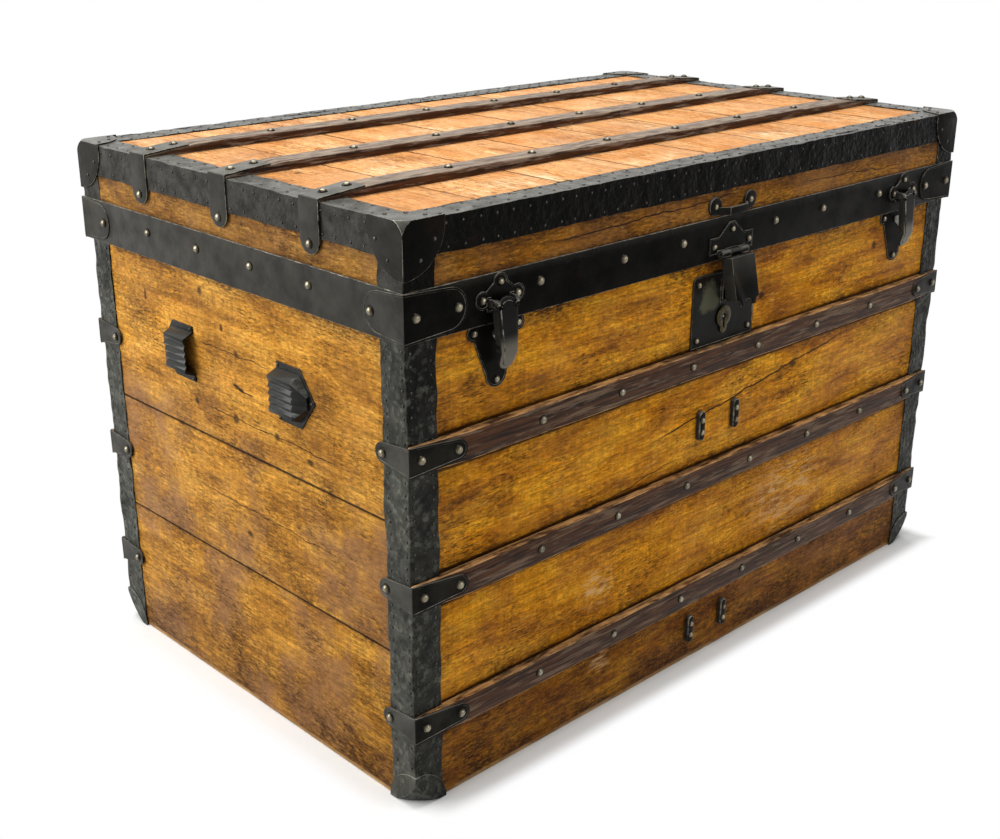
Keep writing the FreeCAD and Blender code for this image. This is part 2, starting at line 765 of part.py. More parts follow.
def lock_plate():
    """Flat lock plate with a keyhole and a rimmed slot for the staple."""
    half = LOCK_PLATE_WIDTH / 2
    plate = front_box(-half, half, 0, PLATE, LOCK_PLATE_BOTTOM, LOCK_PLATE_TOP)
    upper = [
        edge for edge in plate.Edges
        if edge.BoundBox.ZMin > LOCK_PLATE_TOP - PLATE / 2 and edge.BoundBox.XLength < PLATE / 2
    ]
    plate = plate.makeFillet(LOCK_PLATE_ROUND, upper)
    rim = staple_slot(SLOT_RIM, 0, PLATE + SLOT_RIM_HEIGHT)
    return join(plate, rim).cut(staple_slot(0, -PLATE, 2 * PLATE)).cut(keyhole(-PLATE, 2 * PLATE))


def escutcheon():
    """Keyhole escutcheon on the lock plate."""
    low = KEYHOLE_LEVEL - KEYHOLE_RADIUS - KEYHOLE_SLOT_LENGTH
    stand = PLATE + ESCUTCHEON
    upper = front_disc(0, KEYHOLE_LEVEL, ESCUTCHEON_RADIUS, PLATE, stand)
    lower = front_disc(0, low, ESCUTCHEON_TAIL_RADIUS, PLATE, stand)
    return join(upper, lower).cut(keyhole(0, 2 * stand))


def lock_case():
    """Tray behind the lock plate, with a guide under and behind the bolt."""
    outside = front_box(CASE_LEFT, CASE_RIGHT, -CASE_DEPTH, 0, CASE_BOTTOM, CASE_TOP)
    left = CASE_LEFT + CASE_SHEET
    floor = -CASE_DEPTH + CASE_SHEET
    inside = front_box(
        left, CASE_RIGHT - CASE_SHEET, floor, 0, CASE_BOTTOM + CASE_SHEET, CASE_TOP - CASE_SHEET
    )
    right = left + BOLT_GUIDE_LENGTH
    low = BOLT_LOW - BOLT_CLEARANCE
    under = front_box(left, right, floor, BOLT_FRONT, low - BOLT_GUIDE, low)
    behind = front_box(left, right, floor, BOLT_BACK - BOLT_CLEARANCE, low, BOLT_HIGH)
    return join(outside.cut(inside), under, behind)


def lock_bolt():
    """Sliding bolt with a tail for the key."""
    tip = -BOLT_TIP_BACK
    body = front_box(tip - BOLT_LENGTH, tip, BOLT_BACK, BOLT_FRONT, BOLT_LOW, BOLT_HIGH)
    right = tip - BOLT_TAIL_FROM_TIP
    left = right - BOLT_TAIL_WIDTH
    tail = front_box(left, right, BOLT_BACK, BOLT_FRONT, BOLT_LOW - BOLT_TAIL_LENGTH, BOLT_LOW)
    return join(body, tail)


def lock_spring():
    """Leaf spring between the top of the case and the bolt."""
    top = CASE_TOP - CASE_SHEET
    under = top - SPRING_SHEET
    low = BOLT_HIGH + SPRING_CLEARANCE
    left = CASE_LEFT + CASE_SHEET + SPRING_CLEARANCE
    right = -BOLT_TIP_BACK - SPRING_FOOT
    middle = (left + right) / 2
    outline = [
        (left, top), (left, under), (left + SPRING_FOOT, under), (middle, low),
        (right - SPRING_FOOT, under), (right, under), (right, top), (right - SPRING_FOOT, top),
        (middle, low + SPRING_SHEET), (left + SPRING_FOOT, top),
    ]
    return front_prism(outline, BOLT_BACK, BOLT_FRONT)


def key_post():
    """Post in the lock case that the key turns on."""
    start = Vector(0, front(-CASE_DEPTH + CASE_SHEET), KEYHOLE_LEVEL)
    return bar(KEY_POST_RADIUS, start, Vector(0, front(PLATE), KEYHOLE_LEVEL))


HASP_INNER = HASP_LEAF_KNUCKLE / 2
HASP_OUTER = HASP_BARREL_LENGTH / 2


def hasp_bar(radius, x0, x1):
    """Round bar on the hasp's axis."""
    return x_bar(radius, x0, x1, HASP_AXIS_STAND, HASP_LEVEL)


def hasp_hinge_plate():
    """Pointed plate on the lid band with the two outer knuckles of the hasp."""
    half = HASP_PLATE_HALF
    waist = HASP_PLATE_WAIST_HALF
    apex = HASP_PLATE_APEX_HALF
    outline = [
        (-half, HASP_LEVEL), (half, HASP_LEVEL), (half, HASP_PLATE_SHOULDER), (waist, HASP_PLATE_SHOULDER),
        (apex, HASP_PLATE_APEX), (-apex, HASP_PLATE_APEX), (-waist, HASP_PLATE_SHOULDER),
        (-half, HASP_PLATE_SHOULDER),
    ]
    plate = front_prism(outline, BAND_OUT, FITTING_OUT)
    room = HASP_INNER + KNUCKLE_GAP
    plate = plate.cut(hasp_bar(HASP_BARREL + KNUCKLE_GAP, -room, room))
    knuckles = [hasp_bar(HASP_BARREL, -HASP_OUTER, -room), hasp_bar(HASP_BARREL, room, HASP_OUTER)]
    return join(plate, *knuckles).cut(hasp_bar(CLASP_PIN + PIN_CLEARANCE, -HASP_OUTER, HASP_OUTER))


def hasp_leaf():
    """Box-shaped hasp leaf with its knuckle and staple, ajar as it hangs."""
    half = HASP_LEAF_WIDTH / 2
    face = HASP_AXIS_STAND + HASP_LEAF_STAND
    back = face - HASP_LEAF
    rear = HASP_AXIS_STAND - HASP_WALL_INSET
    bottom = HASP_LEVEL - HASP_LEAF_LENGTH
    top = HASP_LEVEL - HASP_BARREL - KNUCKLE_GAP
    cover = front_box(-half, half, rear, face, bottom, top)
    room = front_box(-half + HASP_LEAF, half - HASP_LEAF, rear, back, bottom, top - HASP_LEAF)
    cover = cover.cut(room)
    for x in (-half, 0, half):
        cover = cover.cut(front_disc(x, bottom, HASP_SCALLOP, rear, face))
    neck = front_box(-HASP_INNER, HASP_INNER, rear, HASP_AXIS_STAND + HASP_WALL_INSET, top, HASP_LEVEL)
    knuckle = hasp_bar(HASP_BARREL, -HASP_INNER, HASP_INNER)
    bore = hasp_bar(CLASP_PIN + PIN_CLEARANCE, -HASP_INNER, HASP_INNER)
    low = STAPLE_LEVEL - STAPLE_HEIGHT / 2
    high = STAPLE_LEVEL + STAPLE_HEIGHT / 2
    wide = STAPLE_WIDTH / 2
    staple = front_box(-wide, wide, STAPLE_BACK, back, low, high)
    eye = front_box(-wide, wide, STAPLE_BACK + STAPLE_BAR, back, low + STAPLE_BAR, high - STAPLE_BAR)
    hasp = join(join(cover, neck, knuckle).cut(bore), staple.cut(eye))
    return swung(hasp, HASP_AJAR, HASP_AXIS_STAND, HASP_LEVEL)


LUG_INNER = TONGUE_WIDTH / 2 + KNUCKLE_GAP
LUG_OUTER = LUG_INNER + LATCH_LUG


def latch_bar(radius, x0, x1):
    """Round bar on a latch's axis."""
    return x_bar(radius, x0, x1, LATCH_STAND, LATCH_AXIS_LEVEL)


def keeper_places(x):
    """Places of the ears of a latch's upper plate as (x, z)."""
    return [
        (x - KEEPER_EAR_OFFSET, KEEPER_EAR_LEVEL),
        (x + KEEPER_EAR_OFFSET, KEEPER_EAR_LEVEL),
        (x, KEEPER_TOP_LEVEL),
    ]


def latch_keeper(x):
    """Three-eared plate on the lid band with two lugs for the tongue."""
    discs = [
        front_disc(ear_x, z, KEEPER_EAR_RADIUS, BAND_OUT, FITTING_OUT) for ear_x, z in keeper_places(x)
    ]
    low = LATCH_AXIS_LEVEL - KEEPER_SKIRT
    shoulder = KEEPER_EAR_LEVEL + KEEPER_EAR_RADIUS / 2
    outline = [
        (x - LUG_OUTER, low), (x + LUG_OUTER, low), (x + KEEPER_EAR_OFFSET, shoulder),
        (x + KEEPER_EAR_RADIUS, KEEPER_TOP_LEVEL), (x - KEEPER_EAR_RADIUS, KEEPER_TOP_LEVEL),
        (x - KEEPER_EAR_OFFSET, shoulder),
    ]
    plate = join(front_prism(outline, BAND_OUT, FITTING_OUT), *discs)
    lugs = []
    for x0, x1 in ((x - LUG_OUTER, x - LUG_INNER), (x + LUG_INNER, x + LUG_OUTER)):
        lugs.append(latch_bar(LATCH_EYE, x0, x1))
        low_foot = LATCH_AXIS_LEVEL - LATCH_EYE
        high_foot = LATCH_AXIS_LEVEL + LATCH_EYE
        lugs.append(front_box(x0, x1, BAND_OUT, LATCH_STAND, low_foot, high_foot))
    return join(plate, *lugs).cut(latch_bar(CLASP_PIN + PIN_CLEARANCE, x - LUG_OUTER, x + LUG_OUTER))


def tongue_outline(x, half, tip_half, low):
    """Front outline of a tongue, arched at the top and round at the tip."""
    arch = LATCH_AXIS_LEVEL - TONGUE_ARCH_DROP
    round_end = low + tip_half

    def place(out, z):
        return Vector(x + out, 0, z)

    edges = [
        Part.Arc(place(-half, arch), place(0, arch + half), place(half, arch)).toShape(),
        Part.LineSegment(place(half, arch), place(tip_half, round_end)).toShape(),
        Part.Arc(place(tip_half, round_end), place(0, low), place(-tip_half, round_end)).toShape(),
        Part.LineSegment(place(-tip_half, round_end), place(-half, arch)).toShape(),
    ]
    return Part.Face(Part.Wire(edges)).extrude(OUT_FRONT * BOX_DEPTH)


def latch_tongue(x):
    """Tongue with side flanges, an inner bar and a tip bent inwards, ajar as it hangs."""
    back = LATCH_STAND + TONGUE_STAND
    face = back + TONGUE_SHEET
    rear = back - TONGUE_FLANGE
    half = TONGUE_WIDTH / 2
    tip_half = TONGUE_TIP_WIDTH / 2
    arch = LATCH_AXIS_LEVEL - TONGUE_ARCH_DROP
    bend = LATCH_AXIS_LEVEL - TONGUE_STRAIGHT
    tip_bend = math.radians(TONGUE_TIP_BEND)
    inwards = TONGUE_TIP * math.sin(tip_bend)
    low = bend - TONGUE_TIP * math.cos(tip_bend)
    profile = [
        (back, arch + half), (face, arch + half), (face, bend),
        (face - inwards, low), (back - inwards, low), (back, bend),
    ]
    sheet = side_prism(profile, x - half, x + half).common(tongue_outline(x, half, tip_half, low))
    slope = (half - tip_half) / (arch - low - tip_half)
    flange_low = LATCH_AXIS_LEVEL - TONGUE_FLANGE_END
    low_half = half - slope * (arch - flange_low)
    pieces = []
    for side in (-1, 1):
        edge = [(half, LATCH_AXIS_LEVEL), (half, arch), (low_half, flange_low)]
        inner = [(run - TONGUE_SHEET, z) for run, z in reversed(edge)]
        pieces.append(front_prism([(x + side * run, z) for run, z in edge + inner], rear, back))
        x0, x1 = sorted((x + side * half, x + side * (half - TONGUE_SHEET)))
        pieces.append(latch_bar(LATCH_EYE, x0, x1))
    bar_high = LATCH_AXIS_LEVEL - TONGUE_BAR_TOP
    bar_half = half - slope * (arch - bar_high + TONGUE_BAR)
    pieces.append(front_box(x - bar_half, x + bar_half, rear, back, bar_high - TONGUE_BAR, bar_high))
    tongue = join(sheet, *pieces).cut(latch_bar(CLASP_PIN + PIN_CLEARANCE, x - half, x + half))
    return swung(tongue, TONGUE_AJAR, LATCH_STAND, LATCH_AXIS_LEVEL)


def latch_plate_places(x):
    """Places of the rivets of a latch's lower plate as (x, z)."""
    return [
        (x - LATCH_PLATE_EAR_OFFSET, LATCH_PLATE_EAR_LEVEL),
        (x + LATCH_PLATE_EAR_OFFSET, LATCH_PLATE_EAR_LEVEL),
        (x, LATCH_PLATE_TIP_RIVET),
    ]


def latch_plate(x):
    """Shield-shaped plate on the box under a latch tongue."""
    ear = LATCH_PLATE_EAR_OFFSET
    radius = LATCH_PLATE_EAR_RADIUS
    tip = LATCH_PLATE_TIP_RADIUS
    ear_top = LATCH_PLATE_EAR_LEVEL + radius
    ear_low = LATCH_PLATE_EAR_LEVEL - radius
    outline = [
        (x - ear, ear_top), (x + ear, ear_top), (x + ear, ear_low), (x + tip, LATCH_PLATE_TIP_LEVEL),
        (x - tip, LATCH_PLATE_TIP_LEVEL), (x - ear, ear_low),
    ]
    discs = [front_disc(x + side, LATCH_PLATE_EAR_LEVEL, radius, 0, PLATE) for side in (-ear, ear)]
    discs.append(front_disc(x, LATCH_PLATE_TIP_LEVEL, tip, 0, PLATE))
    plate = join(front_prism(outline, 0, PLATE), *discs)
    above = front_box(x - 2 * ear, x + 2 * ear, 0, PLATE, BODY_TOP - LATCH_PLATE_TOP_GAP, BODY_TOP + radius)
    return plate.cut(above)


def latch_catch(x):
    """Bent spring catch on a latch plate, its nose just above the bar of the closed tongue."""
    low = LATCH_AXIS_LEVEL - TONGUE_BAR_TOP + CATCH_GAP
    nose = LATCH_STAND + TONGUE_STAND - TONGUE_FLANGE + CATCH_BITE
    foot_low = low + CATCH_SLOPE
    foot_top = foot_low + CATCH_FOOT
    front_face = PLATE + CATCH_SHEET
    profile = [
        (PLATE, foot_top), (front_face, foot_top), (front_face, foot_low), (nose, low + CATCH_SHEET),
        (nose, low), (nose - CATCH_SHEET, low), (PLATE, foot_low - CATCH_SHEET),
    ]
    return side_prism(profile, x - CATCH_WIDTH / 2, x + CATCH_WIDTH / 2)


def latch_pin(x):
    """Pin of a latch tongue."""
    return latch_bar(CLASP_PIN, x - LUG_OUTER, x + LUG_OUTER)


HINGE_HALF = HINGE_WIDTH / 2
HINGE_THIRD = HINGE_WIDTH / 6


def hinge_bar(radius, x0, x1):
    """Round bar on the lid's axis."""
    return bar(radius, Vector(x0, HINGE_AXIS_Y, BODY_TOP), Vector(x1, HINGE_AXIS_Y, BODY_TOP))


def hinge_leaf(spans, stand, near, far):
    """Leaf of a back hinge about x = 0, between two levels, with knuckles on these spans."""
    inner = HALF_D + stand
    level = sorted((near, far))
    pieces = [box(-HINGE_HALF, HINGE_HALF, inner, inner + HINGE_LEAF, *level)]
    step = math.copysign(1, far - near)
    web = sorted((BODY_TOP + step * HINGE_PIN, near + step * HINGE_LEAF))
    for x0, x1 in spans:
        pieces.append(hinge_bar(HINGE_BARREL, x0, x1))
        pieces.append(box(x0, x1, inner, HINGE_AXIS_Y, *web))
    return join(*pieces).cut(hinge_bar(HINGE_PIN + PIN_CLEARANCE, -HINGE_HALF, HINGE_HALF))


def hinge_lower_leaf():
    """Leaf on the back of the box, with the two outer knuckles."""
    inner = HINGE_THIRD + HINGE_KNUCKLE_GAP / 2
    near = BODY_TOP - HINGE_LEAF_GAP
    spans = [(-HINGE_HALF, -inner), (inner, HINGE_HALF)]
    return hinge_leaf(spans, 0, near, near - HINGE_LEAF_HEIGHT)


def hinge_upper_leaf():
    """Leaf on the back band of the lid, with the middle knuckle."""
    outer = HINGE_THIRD - HINGE_KNUCKLE_GAP / 2
    near = BODY_TOP + HINGE_LEAF_GAP
    return hinge_leaf([(-outer, outer)], BAND_OUT, near, BAND_TOP - HINGE_LEAF_GAP)


def at_hinges(shape):
    """Copies of a hinge piece at both hinges."""
    return [shape.translated(ALONG_X * x) for x in (-HINGE_OFFSET, HINGE_OFFSET)]


def hinge_rivets(stand, level):
    """Two rivets on each hinge leaf."""
    offset = HINGE_WIDTH / 4
    seats = [Vector(x, HALF_D + stand + HINGE_LEAF, level) for x in (-offset, offset)]
    return [copy for seat in seats for copy in at_hinges(head(SMALL_RIVET, seat, Vector(0, 1, 0)))]


def lower_hinge_rivets():
    """Rivets of the hinge leaves on the box."""
    low = BODY_TOP - HINGE_LEAF_GAP - HINGE_LEAF_HEIGHT
    levels = (low + 2 * SMALL_RIVET_RADIUS, low + HINGE_LEAF_HEIGHT / 2)
    return [rivet for level in levels for rivet in hinge_rivets(0, level)]


def lid_boards():
    """Boards of the lid's top, side by side."""
    width = 2 * LID_HALF_W / LID_BOARD_COUNT
    boards = []
    for i in range(LID_BOARD_COUNT):
        left = -LID_HALF_W + i * width
        boards.append(box(left, left + width, -LID_HALF_D, LID_HALF_D, BOARD_TOP - LID_BOARD, BOARD_TOP))
    return [boards[0].cut(TOP_WASTE)] + boards[1:-1] + [boards[-1].cut(TOP_WASTE)]


def lid_rail(x0, x1, y0, y1):
    """Upright side of the lid."""
    return box(x0, x1, y0, y1, BODY_TOP, BOARD_TOP - LID_BOARD).cut(TOP_WASTE)


def edge_trims():
    """Sheet iron angles over the four top edges of the lid."""
    low = LID_TOP - TRIM_SIDE
    reach = LID_HALF_W + SHEET
    outer = -LID_HALF_D - SHEET
    long_side = box(-reach, reach, outer, -LID_HALF_D, low, LID_TOP)
    long_top = box(-reach, reach, outer, -LID_HALF_D + TRIM_TOP, BOARD_TOP, LID_TOP)
    long_trim = join(long_side, long_top).cut(TOP_WASTE)
    short_side = box(-reach, -LID_HALF_W, -LID_HALF_D, LID_HALF_D, low, LID_TOP)
    short_top = box(-reach, -LID_HALF_W + TRIM_TOP, -LID_HALF_D, LID_HALF_D, BOARD_TOP, LID_TOP)
    longs = [long_trim, mirror_y(long_trim)]
    short_trim = join(short_side, short_top).cut(TOP_WASTE).cut(longs[0]).cut(longs[1])
    return longs + both_sides(short_trim)


def lid_bands():
    """Flat iron bands round the lower edge of the lid."""
    reach = LID_HALF_W + BAND
    long_band = box(-reach, reach, -LID_HALF_D - BAND, -LID_HALF_D, BODY_TOP, BAND_TOP)
    short_band = box(-reach, -LID_HALF_W, -LID_HALF_D, LID_HALF_D, BODY_TOP, BAND_TOP)
    return [long_band, mirror_y(long_band)] + both_sides(short_band)


STRAP_NORMAL = Vector(-math.sin(SLAT_LEAN), 0, math.cos(SLAT_LEAN))


def strap_seat(distance, y):
    """Point on a top slat's thinned face, at a distance from its left end."""
    return Vector(-LID_SLAT_REACH + distance, y, BOARD_TOP + slat_stand(distance))


def end_strap(y):
    """Strap over the left end of a top slat, bent down over the lid's edge."""
    half = STRAP_WIDTH / 2
    low = LID_TOP - STRAP_DROP
    near = y - half
    tip = strap_seat(STRAP_ALONG, near)
    outer_tip = tip + STRAP_NORMAL * CLAMP
    edge = strap_seat(0, near)
    outer_x = edge.x - CLAMP
    outer_z = outer_tip.z - (outer_tip.x - outer_x) * math.tan(SLAT_LEAN)
    outline = [
        tip, edge, Vector(edge.x, near, low), Vector(outer_x, near, low), Vector(outer_x, near, outer_z),
        outer_tip,
    ]
    strip = prism(outline, Vector(0, STRAP_WIDTH, 0))
    bend = [
        one for one in strip.Edges
        if one.BoundBox.YLength > half and abs(one.BoundBox.XMin - outer_x) < CLAMP / 10
        and abs(one.BoundBox.ZMin - outer_z) < CLAMP / 10
    ]
    strip = strip.makeFillet(CLAMP, bend)
    body = box(outer_x - CLAMP, tip.x, near, near + STRAP_WIDTH, low + half, outer_tip.z + CLAMP)
    round_end = bar(half, Vector(outer_x - CLAMP, y, low + half), Vector(edge.x, y, low + half))
    return strip.common(join(body, round_end))


def end_strap_rivets(y):
    """Rivets of one end strap, at the left end."""
    heads = []
    for distance in (STRAP_ALONG - 2 * RIVET_RADIUS, 3 * RIVET_RADIUS):
        heads.append(head(RIVET, strap_seat(distance, y) + STRAP_NORMAL * CLAMP, STRAP_NORMAL))
    low_seat = Vector(-LID_SLAT_REACH - CLAMP, y, LID_TOP - STRAP_DROP + 2 * RIVET_RADIUS)
    heads.append(head(RIVET, low_seat, OUT_LEFT))
    return heads


def lid_lift():
    """Lift bracket above the lock: two ears and a strip that stands out between them."""
    base = LID_OVERHANG
    face = base + LIFT_SHEET
    stand = base + LIFT_STAND
    ear = LIFT_EAR_OFFSET
    reach = ear - LIFT_RAMP / 2
    inner = reach - LIFT_RAMP
    outline = [
        (-ear, base), (-ear, face), (-reach, face), (-inner, stand), (inner, stand), (reach, face),
        (ear, face), (ear, base), (reach, base), (inner, stand - LIFT_SHEET), (-inner, stand - LIFT_SHEET),
        (-reach, base),
    ]
    low = LIFT_EAR_LEVEL - LIFT_EAR_RADIUS
    strip = prism([Vector(x, front(out), low) for x, out in outline], UP * LIFT_STRIP_HEIGHT)
    ears = [front_disc(x, LIFT_EAR_LEVEL, LIFT_EAR_RADIUS, base, face) for x in (-ear, ear)]
    return join(strip, *ears)


def hasp_plate_places():
    """Places of the rivets of the hasp's hinge plate as (x, z)."""
    x = (HASP_PLATE_HALF + HASP_OUTER) / 2
    z = (HASP_LEVEL + HASP_PLATE_SHOULDER) / 2
    return [(0, HASP_PLATE_APEX - 2 * SMALL_RIVET_RADIUS), (-x, z), (x, z)]


def lid_rivets():
    """All rivets and nails that ride on the lid."""
    heads = solids_of(at_levels(clip_rivets(), [BAND_MIDDLE]))
    for nail in top_cap_nails():
        heads += four_corners(nail)
    for x in to_ends(BAND_RIVETS):
        seat = front_head(RIVET, x, BAND_OUT, BAND_RIVET_LEVEL)
        heads += [seat, mirror_y(seat)]
    outer = LATCH_OFFSET - LATCH_RIVET_GAP
    heads += [front_head(RIVET, x, BAND_OUT, BAND_RIVET_LEVEL) for x in to_ends([outer])]
    for y in to_ends([END_BAND_RIVET_PITCH / 2, END_BAND_RIVET_PITCH * 1.5]):
        heads += both_sides(head(RIVET, Vector(-HALF_W - BAND_OUT, y, BAND_RIVET_LEVEL), OUT_LEFT))
    for y in TOP_SLATS.values():
        heads += [head(RIVET, Vector(x, y, BOARD_TOP + SLAT), UP) for x in rivet_places()]
        for strap_head in end_strap_rivets(y):
            heads += both_sides(strap_head)
    plates = [keeper_places(x) for x in LATCHES.values()] + [hasp_plate_places()]
    heads += [front_head(SMALL_RIVET, x, FITTING_OUT, z) for places in plates for x, z in places]
    lift_face = LID_OVERHANG + LIFT_SHEET
    heads += [front_head(SMALL_RIVET, x, lift_face, LIFT_EAR_LEVEL) for x in to_ends([LIFT_EAR_OFFSET])]
    return heads + hinge_rivets(BAND_OUT, BAND_MIDDLE + HINGE_LEAF)


def fitting_rivets():
    """Small rivets of the fittings on the box."""
    half = CLEAT_RIVET_SPACING / 2
    heads = [
        front_head(SMALL_RIVET, x, CLEAT, level + shift)
        for x, level in cleat_places() for shift in (-half, half)
    ]
    plate_x = LOCK_PLATE_WIDTH / 2 - LOCK_RIVET_INSET
    levels = (LOCK_PLATE_BOTTOM + LOCK_RIVET_INSET, LOCK_PLATE_TOP - LOCK_RIVET_INSET)
    heads += [front_head(SMALL_RIVET, x, PLATE, z) for x in (-plate_x, plate_x) for z in levels]
    for latch_x in LATCHES.values():
        heads += [front_head(SMALL_RIVET, x, PLATE, z) for x, z in latch_plate_places(latch_x)]
    return heads + lower_hinge_rivets()


BOTTOM_CAP = corner_cap(
    BOTTOM_CORNER,
    BOTTOM_INWARD,
    (BOTTOM_BALL_INSET, BOTTOM_BALL_RADIUS),
    Vector(-1, -1, 0),
    Part.makeSphere(BOTTOM_CAP_REACH, BOTTOM_CORNER),
)
TOP_CAP = corner_cap(
    TOP_CORNER, TOP_INWARD, (TOP_BALL_INSET, TOP_BALL_RADIUS), Vector(-1, -1, 1), top_cap_outline()
)
BOX_ANGLE = angle_iron(HALF_W, HALF_D, 0, BODY_TOP).cut(BOTTOM_WASTE)
LID_ANGLE = angle_iron(LID_HALF_W, LID_HALF_D, BAND_TOP, LID_TOP - TRIM_SIDE).cut(TOP_WASTE)
HANDLE_CAP = handle_cap()
LEFT_END = left_end_boards()
LEFT_RAIL = lid_rail(-LID_HALF_W, -LID_HALF_W + LID_WALL, -LID_HALF_D + LID_WALL, LID_HALF_D - LID_WALL)
FRONT_RAIL = lid_rail(-LID_HALF_W, LID_HALF_W, -LID_HALF_D, -LID_HALF_D + LID_WALL)

nodes = {
    "bottom_panel": [bottom_panel()],
    "front_boards": front_boards(),
    "back_boards": back_boards(),
    "left_end_boards": LEFT_END,
    "right_end_boards": [mirror_x(board) for board in LEFT_END],
    "corner_angles": four_corners(BOX_ANGLE),
    "slat_corner_clamps": at_levels(clamp(), SLAT_LEVELS.values()),
    "slat_rivets": slat_rivets(),
    "clamp_rivets": solids_of(at_levels(clamp_rivets(), SLAT_LEVELS.values())),
    "bottom_corner_caps": four_corners(BOTTOM_CAP),
    "left_front_handle_cap": [HANDLE_CAP],
    "left_back_handle_cap": [mirror_y(HANDLE_CAP)],
    "right_front_handle_cap": [mirror_x(HANDLE_CAP)],
    "right_back_handle_cap": [mirror_x(mirror_y(HANDLE_CAP))],
    "handle_cap_nails": [copy for nail in handle_cap_nails() for copy in four_corners(nail)],
    "front_cleats": [cleat(x, level) for x, level in cleat_places()],
    "fitting_rivets": fitting_rivets(),
    "lock_plate": [lock_plate()],
    "keyhole_escutcheon": [escutcheon()],
    "lock_case": [lock_case()],
    "lock_spring": [lock_spring()],
    "lock_key_post": [key_post()],
    "lock_bolt": [lock_bolt()],
    "hinge_lower_leaves": at_hinges(hinge_lower_leaf()),
    "hinge_pins": at_hinges(hinge_bar(HINGE_PIN, -HINGE_HALF, HINGE_HALF)),
    "hinge_upper_leaves": at_hinges(hinge_upper_leaf()),
    "lid_top_boards": lid_boards(),
    "lid_front_rail": [FRONT_RAIL],
    "lid_back_rail": [mirror_y(FRONT_RAIL)],
    "lid_left_rail": [LEFT_RAIL],
    "lid_right_rail": [mirror_x(LEFT_RAIL)],
    "lid_edge_trims": edge_trims(),
    "lid_corner_angles": four_corners(LID_ANGLE),
    "lid_bands": lid_bands(),
    "band_corner_clips": at_levels(clip(), [BAND_MIDDLE]),
    "lid_corner_caps": four_corners(TOP_CAP),
    "top_slat_straps": [copy for y in TOP_SLATS.values() for copy in both_sides(end_strap(y))],
    "lid_rivets": lid_rivets(),
    "lid_lift_bracket": [lid_lift()],
    "hasp_hinge_plate": [hasp_hinge_plate()],
    "hasp_leaf": [hasp_leaf()],
    "hasp_pin": [hasp_bar(CLASP_PIN, -HASP_OUTER, HASP_OUTER)],
    "latch_pins": [latch_pin(x) for x in LATCHES.values()],
}
for name, level in SLAT_LEVELS.items():
    slat = front_slat(level)
    nodes["front_slat_" + name] = [slat]
    nodes["back_slat_" + name] = [mirror_y(slat)]
for name, y in TOP_SLATS.items():
    nodes["top_slat_" + name] = [top_slat(y)]
for name, x in LATCHES.items():
    nodes["latch_keeper_" + name] = [latch_keeper(x)]
    nodes["latch_tongue_" + name] = [latch_tongue(x)]
    nodes["latch_plate_" + name] = [latch_plate(x)]
    nodes["latch_catch_" + name] = [latch_catch(x)]

os.makedirs("parts", exist_ok=True)
for name, solids in nodes.items():
    shape = solids[0] if len(solids) == 1 else Part.makeCompound(solids)
    shape.exportStep("parts/" + name + ".step")
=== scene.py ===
import json
import logging
import math
import random
from dataclasses import dataclass, replace
from enum import Enum
from typing import Any, Callable, Iterable, Sequence

import bmesh
import bpy
from bmesh.types import BMesh, BMFace
from bpy.types import Material, Node, NodeTree, Object
from mathutils import Matrix, Vector, noise
from mathutils.bvhtree import BVHTree


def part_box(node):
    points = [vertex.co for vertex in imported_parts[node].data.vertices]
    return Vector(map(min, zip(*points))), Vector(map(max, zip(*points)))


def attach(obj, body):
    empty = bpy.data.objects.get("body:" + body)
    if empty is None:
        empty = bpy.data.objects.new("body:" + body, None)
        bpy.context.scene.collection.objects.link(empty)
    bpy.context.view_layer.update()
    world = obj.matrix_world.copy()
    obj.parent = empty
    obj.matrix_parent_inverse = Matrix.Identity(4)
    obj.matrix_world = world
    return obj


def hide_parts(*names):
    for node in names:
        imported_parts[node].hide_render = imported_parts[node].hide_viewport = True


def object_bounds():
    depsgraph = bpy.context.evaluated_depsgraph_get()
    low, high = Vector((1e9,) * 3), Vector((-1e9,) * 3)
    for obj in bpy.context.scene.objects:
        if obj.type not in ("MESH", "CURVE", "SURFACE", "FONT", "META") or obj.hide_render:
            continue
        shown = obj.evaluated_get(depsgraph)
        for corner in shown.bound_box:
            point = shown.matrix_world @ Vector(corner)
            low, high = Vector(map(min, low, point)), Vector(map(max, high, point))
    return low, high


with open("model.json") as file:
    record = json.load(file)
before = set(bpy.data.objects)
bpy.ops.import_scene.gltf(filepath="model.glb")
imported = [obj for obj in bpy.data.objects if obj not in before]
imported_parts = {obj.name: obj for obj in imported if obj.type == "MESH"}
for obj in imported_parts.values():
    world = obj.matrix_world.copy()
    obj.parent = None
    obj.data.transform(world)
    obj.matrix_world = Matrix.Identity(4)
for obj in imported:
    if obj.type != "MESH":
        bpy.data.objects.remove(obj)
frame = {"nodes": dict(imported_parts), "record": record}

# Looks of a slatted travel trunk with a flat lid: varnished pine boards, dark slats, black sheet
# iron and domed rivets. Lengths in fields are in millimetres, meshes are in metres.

CAD_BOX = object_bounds()
LOG = logging.getLogger("trunk")
MM = 0.001
UP = Vector((0, 0, 1))
BODY_OF = {node: body for body, nodes in frame["record"]["behaviour"]["bodies"].items() for node in nodes}
LID_BOARD_COUNT = 8
LID_SEAM_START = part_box("lid_top_boards")[0].x / MM
LID_SEAM_PITCH = (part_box("lid_top_boards")[1].x / MM - LID_SEAM_START) / LID_BOARD_COUNT
LID_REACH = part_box("lid_right_rail")[1].x / MM
LID_DEPTH = -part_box("lid_front_rail")[0].y / MM
TONGUE_MIDDLE = sum(corner.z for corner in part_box("latch_tongue_left")) / 2 / MM
# Edges sharper than this many degrees stay crisp in the shading.
CRISP = 34.0
# A face whose outward share is below this looks into the trunk.
INWARD = -0.9
